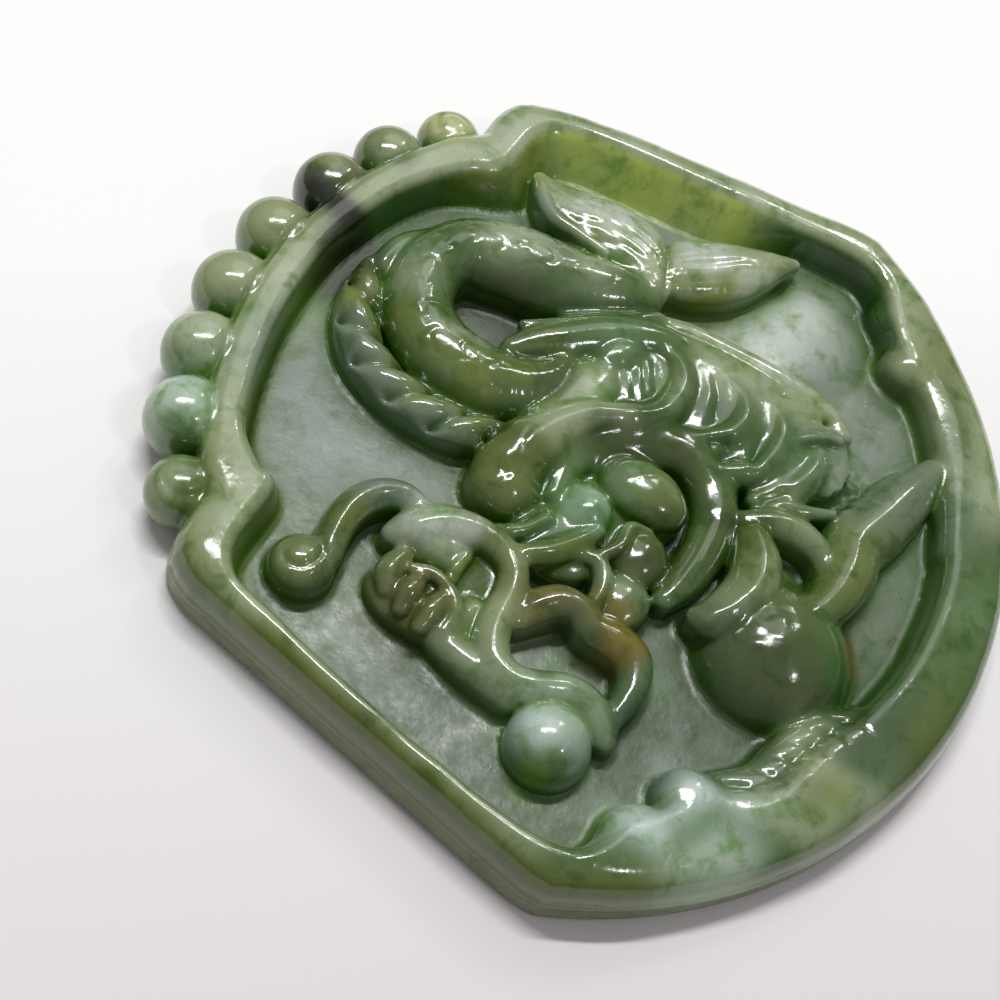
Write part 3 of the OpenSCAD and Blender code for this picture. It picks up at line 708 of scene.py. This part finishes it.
FROST = (0.47, 0.52, 0.42)
FRESH = (0.29, 0.38, 0.22)
AMBER = (0.19, 0.14, 0.01)
PAINTED_GLOW_GREEN = (0.37, 0.47, 0.075)
LEAF = (0.05, 0.15, 0.004)

# Clouds laid over the pieces' own colours, most of them in the stone and some of them painted light
# or shade: x, y, radius, colour, amount
CLOUDS = [
    # the ground
    # the greyish clouds at the upper left are the ground's grey with a painted reflection on it
    (-11, 20, 6, GREYISH, 1), (-6, 28, 4, GREYISH, 1), (-24, 10, 5, TEAL, 0.8),
    (-24.5, 2, 5, TEAL, 0.9), (-17, -6, 6, TEAL, 1), (-14, -14, 4, (0.03, 0.085, 0.03), 0.6),
    (-12, -8, 5, TEAL, 1),
    # the two frost clouds on the mound at the right are pale ground with a painted highlight on its
    # slope
    (-10, -17, 6, TEAL, 0.8), (17, -1, 5, FROST, 0.8), (22, -2, 3, FROST, 0.8),
    (14.5, 20.5, 2.5, GREYISH, 1),
    (10, -12, 6, GREYISH, 0.6), (-14.6, -3.6, 2, SEA, 0.6),
    # the rim, round from the left end of the arch
    (-12, 33.2, 1.8, SEA, 0.5), (-6, 34, 1.6, SEA, 0.5), (1, 33.9, 1.5, YELLOWISH, 0.5),
    (-2, 32, 4, SAGE, 0.9), (-20.5, 25.6, 2.5, SAGE, 0.8), (-26.5, -12.5, 2.6, FROST, 0.9),
    (-24.2, -12.6, 2.2, MINT, 0.5), (-20, -17, 2.2, SAGE, 0.6), (-17.4, -16.6, 1.8, YELLOWISH, 0.7),
    (-16, -20.5, 3, SAGE, 0.6), (-8, -22, 4, OLIVE, 0.6), (4, -23, 4, SEA, 0.5),
    (14, -20.5, 4, SAGE, 0.7), (24, -14, 4, OLIVE, 0.6), (21, 26.4, 3, SAGE, 1),
    (27, 16, 2.5, SAGE, 0.9), (28.5, 5, 3, SAGE, 0.9), (14, 30, 2.2, SAGE, 0.7),
    # the black vein that crosses the arch, then painted shade in two hollows
    (5.4, 34.4, 2.2, DARK, 1), (5.2, 32.4, 1.6, DARK, 0.9), (4.2, 31.2, 2.3, DARK, 1),
    (2.2, 30.8, 1.5, DARK, 0.7),
    (3.9, 29.4, 2.1, DARK, 1), (4.6, 27.6, 1.5, TEAL, 0.9), (2.6, 27, 1.2, MOSS, 0.8),
    # painted shade: a dark patch in the hole inside the coil and a dark patch on the floor of the
    # mouth
    (6, 18.2, 2.2, DARK, 0.9), (-16.2, 1.6, 2.2, (0.05, 0.10, 0.05), 0.8),
    # beads
    (-20.2, 29.8, 1.2, SAGE, 0.7), (-18.0, 29.9, 1.2, SEA, 0.6), (-17, 31, 1.4, SEA, 0.9),
    (-14.4, 32.2, 1.7, MINT, 0.7), (-9.2, 33.8, 2.2, SAGE, 0.9), (-4, 35, 2.2, PALM, 0.9),
    (2.3, 35.2, 2.2, PALM, 0.9), (8.9, 34.2, 1.7, PALM, 0.9), (14.4, 32.2, 1.9, PALM, 0.9),
    (13.2, 30.9, 1.1, VIVID, 0.5), (19, 29.3, 2.4, CREAM, 0.9),
    # the body and its fins
    (-2.6, 17, 2, YELLOWISH, 0.9), (-1.2, 21.5, 2.4, YELLOWISH, 0.5), (1.2, 14.5, 1.8, OLIVE, 0.8),
    (0.6, 19, 1.2, SAGE, 0.5), (3, 24, 2.2, SAGE, 0.5), (5.6, 25.4, 1.6, SEA, 0.9),
    (6.6, 19, 1.6, MOSS, 1), (11, 20.5, 2.6, SAGE, 0.9), (12.6, 14.5, 2.6, SAGE, 0.9),
    (2.4, 12.4, 1.5, MOSS, 0.8), (14, 11.8, 1.2, PALM, 0.7), (17.8, 17, 2.6, FROST, 0.9),
    (18.4, 13.4, 2.4, FROST, 0.9), (20.2, 6.8, 2.2, FROST, 0.9), (16.4, 5.6, 1.8, YELLOWISH, 0.9),
    (15.4, 18.6, 1.2, OLIVE, 0.8),
    (15.4, 16, 1, YELLOWISH, 0.7), (18.6, 5.2, 1.2, YELLOWISH, 0.9), (22.4, 2.2, 1.3, OLIVE, 0.8),
    (8, 10.4, 2.2, SEA, 0.9), (4.6, 14.4, 1.3, OLIVE, 0.8), (-5.4, 19, 1.4, YELLOWISH, 0.4),
    (-0.6, 26.6, 1.1, YELLOWISH, 0.7),
    # the head
    (-8.6, 11.6, 1.8, OLIVE, 0.7), (0.8, 8.4, 1.5, SAGE, 0.6), (3.6, 9.8, 2, SAGE, 0.6),
    (-4.4, 11.6, 2.2, MOSS, 0.5),
    (-2, 10.6, 1.4, SAGE, 0.4),
    (-6, 5.4, 2.2, (0.13, 0.26, 0.12), 1), (-2.2, 5.4, 1.6, SEA, 0.8),
    (-1.6, 2.6, 1.2, SAGE, 0.5), (-3.4, 1, 1.4, MOSS, 0.6),
    (-7, 0.6, 2.4, MOSS, 0.8), (1.6, 1, 2, MOSS, 1), (0, 6.4, 1.6, MOSS, 0.7),
    (-13.4, 13.4, 2.4, FROST, 0.95), (-12.3, 11, 1.2, FROST, 0.8), (-18.6, 12, 2.4, BROWN, 0.8),
    (-15.4, 19.2, 2, OLIVE, 0.9),
    (-7.2, 1.1, 1.6, MOSS, 1),
    (-13.6, 7.6, 2, OLIVE, 0.6), (-20.2, 5, 1.8, SAGE, 0.5), (-18.6, -0.6, 2, FRESH, 0.9),
    (-19.4, 3, 1.4, FRESH, 0.7), (-16.6, 2, 1.5, SEA, 0.8), (-14, 5, 1.4, BROWN, 0.6),
    (-13.4, -0.4, 1.6, AMBER, 0.9), (-10.6, 4, 1.8, OLIVE, 0.6), (-10.6, 0.4, 1.4, SAGE, 0.4),
    (-21.4, 1.1, 2.2, MINT, 1), (-24.8, -0.4, 1.6, (0.11, 0.2, 0.03), 1),
    (0.1, 7.3, 1.5, MOSS, 0.8), (2.2, 5, 1.5, MOSS, 0.8), (2.9, 2, 1.6, MOSS, 0.8),
    (2.2, -0.6, 1.6, MOSS, 0.7), (-0.5, -2.6, 1.5, MOSS, 0.7), (-4, -2.8, 1.5, MOSS, 0.6),
    # belly, folds and mane
    (-7, -5.6, 2, SAGE, 0.5), (-3.6, -6.6, 1.8, SAGE, 0.4),
    (-8.6, -11, 5.4, (0.07, 0.11, 0.03), 0.75), (-11, -12, 4, MOSS, 0.8),
    (-6, -14.4, 2.4, (0.04, 0.125, 0.02), 0.8), (-3.4, -15, 0.7, (0.2, 0.09, 0.01), 0.9),
    (1, -7, 2, PALM, 0.6), (6, 6.6, 2, SEA, 0.7), (7, 1, 2.5, TEAL, 0.5),
    (6, -6, 3, SEA, 0.5), (13, 2, 1.6, PALM, 0.8), (12.4, -6.5, 1.8, PALM, 0.8),
    (6.4, 4, 1.3, SAGE, 0.5),
    # rocks
    (-24.4, -7.6, 2.2, MINT, 0.9), (-22.8, -10.4, 1.4, SEA, 0.6), (-20.6, -8.8, 2, MINT, 0.9),
    (-20.4, -12.4, 1.8, MINT, 0.5), (-26.5, -12.5, 3.4, (0.26, 0.36, 0.22), 0.6),
    (-19.2, -14.2, 1.8, SAGE, 0.7), (-15.5, -15.8, 2, PALM, 0.8),
    (-12.5, -14.4, 2, SAGE, 0.6),
]
# Colour of the well's wall, in the same form; its bright greens on the right are painted light
WALLS = [
    (-10, 28, 9, OLIVE, 0.9), (0, 30, 4, YELLOWISH, 0.8), (10.5, 28.6, 5.5, LEAF, 1),
    # painted light: the bright greens on the right wall stand for light glowing through the stone
    (15.8, 25, 2.4, YELLOWISH, 1), (20.5, 23.4, 3.2, YELLOWISH, 1), (24.4, 20, 3.2, PAINTED_GLOW_GREEN, 1),
    (25.2, 14, 4.5, PAINTED_GLOW_GREEN, 1), (26.2, 7.5, 3.6, PAINTED_GLOW_GREEN, 1), (27, 1, 4.4, LEAF, 1),
    (26.6, -6, 5, VIVID, 1), (-20, 23.6, 4, YELLOWISH, 0.8), (-25.5, 18, 5, PALM, 0.8),
    (-28, 4, 8, PALM, 0.7), (4.2, 30.2, 2.4, DARK, 0.95), (6, 28.8, 1.4, DARK, 0.8),
]
EDGE_OLIVE = (0.115, 0.145, 0.010)
FOOT_GREY = (0.200, 0.205, 0.130)


def laid_over(flat, clouds, wander, mask=1.0):
    for x, y, radius, tint, amount in clouds:
        d2 = (x2 + wander[0] - x) ** 2 + (y2 + wander[1] - y) ** 2
        cover = (mask * amount * np.exp(-(d2 / radius ** 2) ** 1.3))[:, :, None]
        flat = flat * (1 - cover) + np.array(tint, np.float32) * cover
    return flat


# Where the stone is thin, the painted shade of walls and hollows is held back so they stay light, a
# painted glow: x, y, two radii, amount
GLOWING = [(25.6, 12, 3, 10, 0.95), (-17, 1.5, 6, 7, 0.6), (-21, -10, 5, 5, 0.6), (22, 20, 3, 5, 0.4)]


def painted_shade_strength():
    value = np.ones(x2.shape)
    for x, y, rx, ry, amount in GLOWING:
        d2 = ((x2 - x) / rx) ** 2 + ((y2 - y) / ry) ** 2
        value *= 1 - amount * np.exp(-d2 ** 1.5)
    return value


def colour_map():
    """The stone's colour in plan: each piece's own where it shows, softened, under the clouds, with
    the strength of the painted shade as a fourth channel.
    """
    height = np.argmax((total[:, :, ::-1] < 0), axis=2)
    highest = COUNT[2] - 1 - height
    shown = np.take_along_axis(label, highest[:, :, None], 2)[:, :, 0]
    palette = np.array([STONE[SLOT[node]] for node in NODES], np.float32)
    plan_colour = palette[shown]
    flat = np.stack([blur(plan_colour[:, :, c], 0.7 / CELL) for c in range(3)], 2)
    wander = [blur(rng.standard_normal(x2.shape).astype(np.float32), 1.4 / CELL)
              for _ in range(2)]
    wander = [w / w.std() * 0.7 for w in wander]
    flat = laid_over(flat, CLOUDS, wander)
    reach = 1.5 + 1.8 * gentle
    band = np.clip(from_well / 0.3, 0, 1) * np.clip((reach - from_well) / 0.5, 0, 1)
    flat = laid_over(flat, WALLS, wander, band)
    side = np.clip((3 - x2 - 0.6 * y2) / 14, 0, 1) * np.clip((y2 + 12) / 4, 0, 1)
    cover = (side * np.exp(-((from_edge + 0.4 * wander[0]) / 1.0) ** 2))[:, :, None]
    flat = flat * (1 - cover) + np.array(EDGE_OLIVE, np.float32) * cover
    return np.dstack([flat, painted_shade_strength()])


stone_colour = colour_map()


def colours_at(points):
    p = (points[:, :2] - LOW[:2]) / CELL
    i = np.clip(p.astype(int), 0, COUNT[:2] - 2)
    f = np.clip(p - i, 0, 1)
    value = 0
    for dx in (0, 1):
        for dy in (0, 1):
            weight = np.where(dx, f[:, 0], 1 - f[:, 0]) * np.where(dy, f[:, 1], 1 - f[:, 1])
            value = value + weight[:, None] * stone_colour[i[:, 0] + dx, i[:, 1] + dy]
    # towards the foot the colour turns grey and the painted shade is held down
    foot = np.clip((2.3 - points[:, 2:3]) / 0.8, 0, 1) * 0.8
    return value * (1 - foot) + np.array(FOOT_GREY + (0.4,)) * foot


def without_crumbs(points, faces, cell):
    """Drops the loose bits of a skin whose area is below CRUMB, left where a seam cuts a corner."""
    part = np.arange(len(points))
    while True:
        lowest = part.copy()
        np.minimum.at(lowest, faces.ravel(), np.repeat(part[faces].min(1), 4))
        lowest = lowest[lowest]
        if np.array_equal(lowest, part):
            break
        part = lowest
    own_part = part[faces[:, 0]]
    area = np.bincount(own_part, minlength=len(points)) * cell ** 2
    kept = faces[area[own_part] >= CRUMB]
    used, numbers = np.unique(kept, return_inverse=True)
    return points[used], numbers.reshape(kept.shape)


def build(node, box, own, cell_step):
    """Makes a piece's mesh from its own distances in a box of the grid."""
    first_box, second_box = first[box], second[box]
    other = np.where(own <= first_box + 1e-6, second_box, first_box)
    excess = own - other
    field = np.maximum(total[box] + 0.35 * np.maximum(0, excess), excess - 0.5)
    low = np.array([AXES[i][box[i]][0] for i in range(3)])
    step = cell_step
    field = field[::step, ::step, ::step]
    field = np.pad(field, 1, constant_values=FAR)
    cell = CELL * step
    low = low - cell
    field = np.clip(field, -2, 2)
    points, faces = without_crumbs(*skin(field, low, cell), cell)
    grads = np.gradient(field, cell)
    for _ in range(2):
        value = sample(field, points, low, cell)
        grad = np.stack([sample(g, points, low, cell) for g in grads], 1)
        size = (grad ** 2).sum(1) + 0.05
        move = -(value / size)[:, None] * grad
        points = points + np.clip(move, -0.3 * cell, 0.3 * cell)
    normal = np.stack([sample(g, points, low, cell) for g in grads], 1)
    past_seam = np.pad(np.clip(excess, -2, 2), 1, mode="edge")[::step, ::step, ::step]
    deep = sample(past_seam, points, low, cell)
    smooth = np.stack([sample(g, points, LOW, CELL) for g in slope], 1)
    normal = np.where((deep < 0.1)[:, None], smooth, normal)
    normal /= np.linalg.norm(normal, axis=1)[:, None] + 1e-9

    mesh = bpy.data.meshes.new(node)
    mesh.vertices.add(len(points))
    mesh.vertices.foreach_set("co", row_frame(points).astype(np.float32).ravel())
    mesh.loops.add(faces.size)
    mesh.loops.foreach_set("vertex_index", faces.ravel().astype(np.int32))
    mesh.polygons.add(len(faces))
    mesh.polygons.foreach_set("loop_start", np.arange(0, faces.size, 4, dtype=np.int32))
    mesh.update(calc_edges=True)
    mesh.validate()
    mesh.polygons.foreach_set("use_smooth", np.ones(len(faces), bool))
    mesh.normals_split_custom_set_from_vertices(normal)

    tint = mesh.attributes.new("tint", "FLOAT_COLOR", "POINT")
    rgba = np.ones((len(points), 4), np.float32)
    rgba[:] = colours_at(points)
    tint.data.foreach_set("color", rgba.ravel())
    # hollow measures and the normal's height, which the material turns into painted shade and painted
    # sheen
    marks = {"hollow_fine": sample(hollow_fine, points, LOW, CELL),
             "hollow_wide": sample(hollow_wide, points, LOW, CELL), "level": normal[:, 2]}
    for name, values in marks.items():
        mesh.attributes.new(name, "FLOAT", "POINT").data.foreach_set(
            "value", values.astype(np.float32))

    piece = bpy.data.objects.new(f"carved_{node}", mesh)
    bpy.context.scene.collection.objects.link(piece)
    mesh.materials.append(STONES[SLOT[node]])
    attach(piece, "root")
    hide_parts(node)
    return piece


# ---------------------------------------------------------------- materials
def tree_tools(material):
    nodes, links = material.node_tree.nodes, material.node_tree.links

    def add(kind, inputs=(), **settings):
        """A node with its settings; inputs maps sockets to values or to other nodes' outputs."""
        node = nodes.new(kind)
        for key, value in settings.items():
            setattr(node, key, value)
        for key, value in dict(inputs).items():
            if isinstance(value, bpy.types.NodeSocket):
                links.new(value, node.inputs[key])
            else:
                node.inputs[key].default_value = value
        return node
    return nodes, links, add


def jade(name, roughness, grain, clouding, coat=0.25, wall=0.6, shine=0.5):
    """Polished jadeite: the piece's own colour under clouds, fibres and flecks, with painted shade on
    steep walls, in hollows and creases, and a painted sheen on the crests.
    """
    material = bpy.data.materials.new(name)
    material.use_nodes = True
    nodes, links, add = tree_tools(material)
    nodes.clear()
    where = add("ShaderNodeTexCoord").outputs["Object"]
    mm = add("ShaderNodeMapping", {"Vector": where, "Scale": (1000, 1000, 1000)}).outputs[0]
    along = add("ShaderNodeMapping", {"Vector": where, "Scale": (500, 1600, 900),
                                      "Rotation": (0.1, 0.2, 0.6)}).outputs[0]

    def noise(vector, scale, detail=5.0, rough=0.55, warp=0.0):
        return add("ShaderNodeTexNoise", {"Vector": vector, "Scale": scale, "Detail": detail,
                                          "Roughness": rough, "Distortion": warp}).outputs[0]

    def ramp(value, low, high, out_low=0.0, out_high=1.0):
        return add("ShaderNodeMapRange", {"Value": value, "From Min": low, "From Max": high,
                                          "To Min": out_low, "To Max": out_high}).outputs[0]

    def mix(factor, a, b, blend="MIX"):
        node = add("ShaderNodeMix", data_type="RGBA", blend_type=blend)
        sockets = [s for s in node.inputs if s.enabled]
        for socket, value in zip(sockets, (factor, a, b)):
            if isinstance(value, bpy.types.NodeSocket):
                links.new(value, socket)
            else:
                socket.default_value = value
        return [s for s in node.outputs if s.enabled][0]

    def math_node(kind, a, b):
        return add("ShaderNodeMath", {0: a, 1: b}, operation=kind).outputs[0]

    painted = add("ShaderNodeAttribute", attribute_name="tint")
    tint, shade_strength = painted.outputs["Color"], painted.outputs["Alpha"]
    fine = add("ShaderNodeAttribute", attribute_name="hollow_fine").outputs["Fac"]
    wide = add("ShaderNodeAttribute", attribute_name="hollow_wide").outputs["Fac"]

    level = add("ShaderNodeAttribute", attribute_name="level").outputs["Fac"]

    clouds = noise(mm, 0.16, 6, 0.6, 0.8)
    patches = noise(mm, 0.45, 4, 0.6, 0.4)
    fibres = noise(along, 0.9, 5, 0.65, 0.5)
    flecks = noise(mm, 2.6, 3, 0.7)
    pale = mix(0.12, mix(1.0, tint, (2.0, 1.9, 2.9, 1), "MULTIPLY"), (0.58, 0.66, 0.52, 1))
    deep = mix(1.0, tint, (0.30, 0.56, 0.08, 1), "MULTIPLY")
    colour = mix(ramp(clouds, 0.35, 0.7, 0.0, clouding), tint, pale)
    colour = mix(ramp(patches, 0.5, 0.32, 0.0, 0.75), colour, deep)
    colour = mix(ramp(fibres, 0.62, 0.8, 0.0, 0.35), colour, pale)
    colour = mix(ramp(flecks, 0.68, 0.8, 0.0, 0.35), colour, pale)
    colour = mix(ramp(flecks, 0.34, 0.24, 0.0, 0.5), colour, deep)
    # painted shade: steep walls (by the wall amount), broad hollows and fine creases turn towards the
    # deep colour, scaled by the tint's alpha
    for value, low, high, amount in ((level, 0.80, 0.30, wall), (wide, 0.46, 0.66, 0.9),
                                     (fine, 0.53, 0.68, 0.7)):
        cover = math_node("MULTIPLY", ramp(value, low, high, 0.0, amount), shade_strength)
        colour = mix(cover, colour, deep)
    # painted sheen: convex crests turn towards the pale colour
    colour = mix(ramp(fine, 0.43, 0.28, 0.0, 0.40), colour, pale)

    rough = ramp(noise(mm, 0.8, 4, 0.6), 0.3, 0.75, roughness * 0.7, roughness * 1.5)
    rough = math_node("ADD", rough, ramp(fine, 0.52, 0.66, 0.0, 0.06))
    pits = noise(mm, 2.0, 4, 0.6)
    waves = noise(mm, 0.7, 3, 0.5)
    height = math_node("ADD", math_node("MULTIPLY", pits, grain), waves)
    bump = add("ShaderNodeBump", {"Height": height, "Strength": 0.5, "Distance": 0.00006})
    shader = add("ShaderNodeBsdfPrincipled", {
        "Base Color": colour, "Roughness": rough, "IOR": 1.66, "Normal": bump.outputs[0],
        "Subsurface Weight": 0.45, "Subsurface Radius": (0.8, 1.0, 0.5),
        "Subsurface Scale": 0.0008, "Coat Weight": coat, "Coat Roughness": 0.04,
        "Specular IOR Level": shine})
    out = add("ShaderNodeOutputMaterial", {"Surface": shader.outputs[0]})
    return material


STONES = {
    "jade_green": jade("jade_green", 0.14, 0.5, 0.22),
    "jade_olive": jade("jade_olive", 0.14, 0.5, 0.22),
    "jade_pale": jade("jade_pale", 0.15, 0.5, 0.25),
    "jade_ground": jade("jade_ground", 0.33, 0.6, 0.30, 0.0, shine=0.35),
    "jade_mint": jade("jade_mint", 0.16, 0.45, 0.35, wall=0.2),
    "jade_amber": jade("jade_amber", 0.14, 0.5, 0.2),
    "jade_dark": jade("jade_dark", 0.14, 0.5, 0.2),
}

# ---------------------------------------------------------------- the pieces
slab_own = np.maximum(Z - GROUND_Z, -EDGE).astype(np.float32)
build("base_slab", WHOLE, slab_own, 2)
for number, node in enumerate(RIM_LINES):
    cells = np.argwhere((rim_part == number) & (from_edge > -1) & (from_well < 4))
    low, high = LOW[:2] + cells.min(0) * CELL, LOW[:2] + cells.max(0) * CELL
    box = window((low[0] - 1, low[1] - 1, 1.0), (high[0] + 1, high[1] + 1, 6.4))
    border = rim[box] + from_line[number][box[0], box[1], None]
    build(node, box, np.maximum(border, STAND - Z[:, :, box[2]]), 1)
for node, (melt, shapes) in RELIEF.items():
    box = boxes[node]
    own = np.maximum(joined(shapes, box).astype(np.float32), STAND - Z[:, :, box[2]])
    build(node, box, own.astype(np.float32), 1)


# ---------------------------------------------------------------- floor, lights, camera
def place(x, y, z):
    return Vector((x * MM, (y - MID_Y) * MM, z * MM))


def make_floor():
    """A white sheet under the plaque, with a faint tooth and painted shade that turns it pinkish grey
    towards minus x and minus y.
    """
    mesh = bpy.data.meshes.new("floor")
    half, drop = 0.6, 0.00003
    corners = [(-half, -half), (half, -half), (half, half), (-half, half)]
    mesh.from_pydata([(x, y, -drop) for x, y in corners], [], [(0, 1, 2, 3)])
    material = bpy.data.materials.new("white_sheet")
    material.use_nodes = True
    nodes, links, add = tree_tools(material)
    nodes.clear()
    where = add("ShaderNodeTexCoord").outputs["Object"]
    tooth = add("ShaderNodeTexNoise", {"Vector": where, "Scale": 900, "Detail": 3.0}).outputs[0]
    bump = add("ShaderNodeBump", {"Height": tooth, "Strength": 0.05, "Distance": 0.0001})
    # painted shade: the sheet fades from white to pinkish grey across the plaque, towards minus x and
    # minus y
    across = add("ShaderNodeVectorMath", {0: where, 1: (0.81, 0.58, 0)}, operation="DOT_PRODUCT")
    fade = add("ShaderNodeMapRange", {"Value": across.outputs["Value"], "From Min": -0.05,
                                      "From Max": 0.02}).outputs[0]
    sheet = add("ShaderNodeMix", data_type="RGBA")
    factor, shaded_tone, far = [k for k in sheet.inputs if k.enabled]
    links.new(fade, factor)
    shaded_tone.default_value, far.default_value = (0.72, 0.675, 0.685, 1), (0.98, 0.98, 0.98, 1)
    white = [k for k in sheet.outputs if k.enabled][0]
    shader = add("ShaderNodeBsdfPrincipled", {
        "Base Color": white, "Roughness": 0.8, "Normal": bump.outputs[0],
        "Specular IOR Level": 0.2})
    add("ShaderNodeOutputMaterial", {"Surface": shader.outputs[0]})
    floor = bpy.data.objects.new("floor", mesh)
    floor.data.materials.append(material)
    bpy.context.scene.collection.objects.link(floor)


def area_light(name, toward, along, distance, size, power):
    """A lamp shining on the plaque's middle from a direction, its long side along another."""
    light = bpy.data.lights.new(name, "AREA")
    light.shape = "RECTANGLE"
    light.size, light.size_y = size
    light.energy = power
    lamp = bpy.data.objects.new(name, light)
    back = Vector(toward).normalized()
    side = Vector(along).cross(back).normalized()
    facing = Matrix((side, back.cross(side), back)).transposed().to_4x4()
    lamp.matrix_world = Matrix.Translation(place(0, 7, 3) + back * distance) @ facing
    bpy.context.scene.collection.objects.link(lamp)


make_floor()
area_light("tube", (0.27, 0.24, 0.93), (-0.5, 0.87, 0), 1.2, (0.06, 0.66), 8.8)
area_light("far_side", (0.74, -0.06, 0.67), (0, 0, 1), 1.0, (0.06, 0.16), 0.6)
area_light("small_lamp", (-0.13, -0.57, 0.81), (1, 0, 0), 1.2, (0.08, 0.08), 0.9)

GLOW = Vector((0.61, 0.17, 0.775)).normalized()  # a soft bright patch that flat tops mirror
world = bpy.data.worlds.new("studio")
world.use_nodes = True
nodes, links, add = tree_tools(world)
sky = add("ShaderNodeTexCoord").outputs["Generated"]
height = add("ShaderNodeSeparateXYZ", {"Vector": sky}).outputs["Z"]
shade = add("ShaderNodeMapRange", {"Value": height, "From Min": 0.0, "From Max": 0.8,
                                   "To Min": 0.08, "To Max": 0.34}).outputs[0]
toward = add("ShaderNodeVectorMath", {0: sky, 1: GLOW}, operation="DOT_PRODUCT")
glow = add("ShaderNodeMapRange", {"Value": toward.outputs["Value"], "From Min": 0.93,
                                  "From Max": 0.995, "To Min": 0.0, "To Max": 1.2},
           interpolation_type="SMOOTHSTEP").outputs[0]
both = add("ShaderNodeMath", {0: shade, 1: glow}, operation="ADD").outputs[0]
links.new(both, nodes["Background"].inputs["Strength"])
nodes["Background"].inputs["Color"].default_value = (1, 0.985, 0.99, 1)
bpy.context.scene.world = world
bpy.context.scene.view_settings.view_transform = "Standard"

EYE, AIM, ROLL = (-71.56, 5.12, 96.29), (-5.89, 11.18, 0), 25.678
lens = bpy.data.cameras.new("camera")
lens.lens, lens.sensor_width = 60, 36
lens.clip_start, lens.clip_end = 0.005, 5
camera = bpy.data.objects.new("camera", lens)
bpy.context.scene.collection.objects.link(camera)
camera.location = place(*EYE)
turn = (place(*AIM) - place(*EYE)).to_track_quat("-Z", "Y").to_matrix().to_4x4()
camera.matrix_world = (Matrix.Translation(place(*EYE)) @ turn
                       @ Matrix.Rotation(math.radians(ROLL), 4, "Z"))
bpy.context.scene.camera = camera
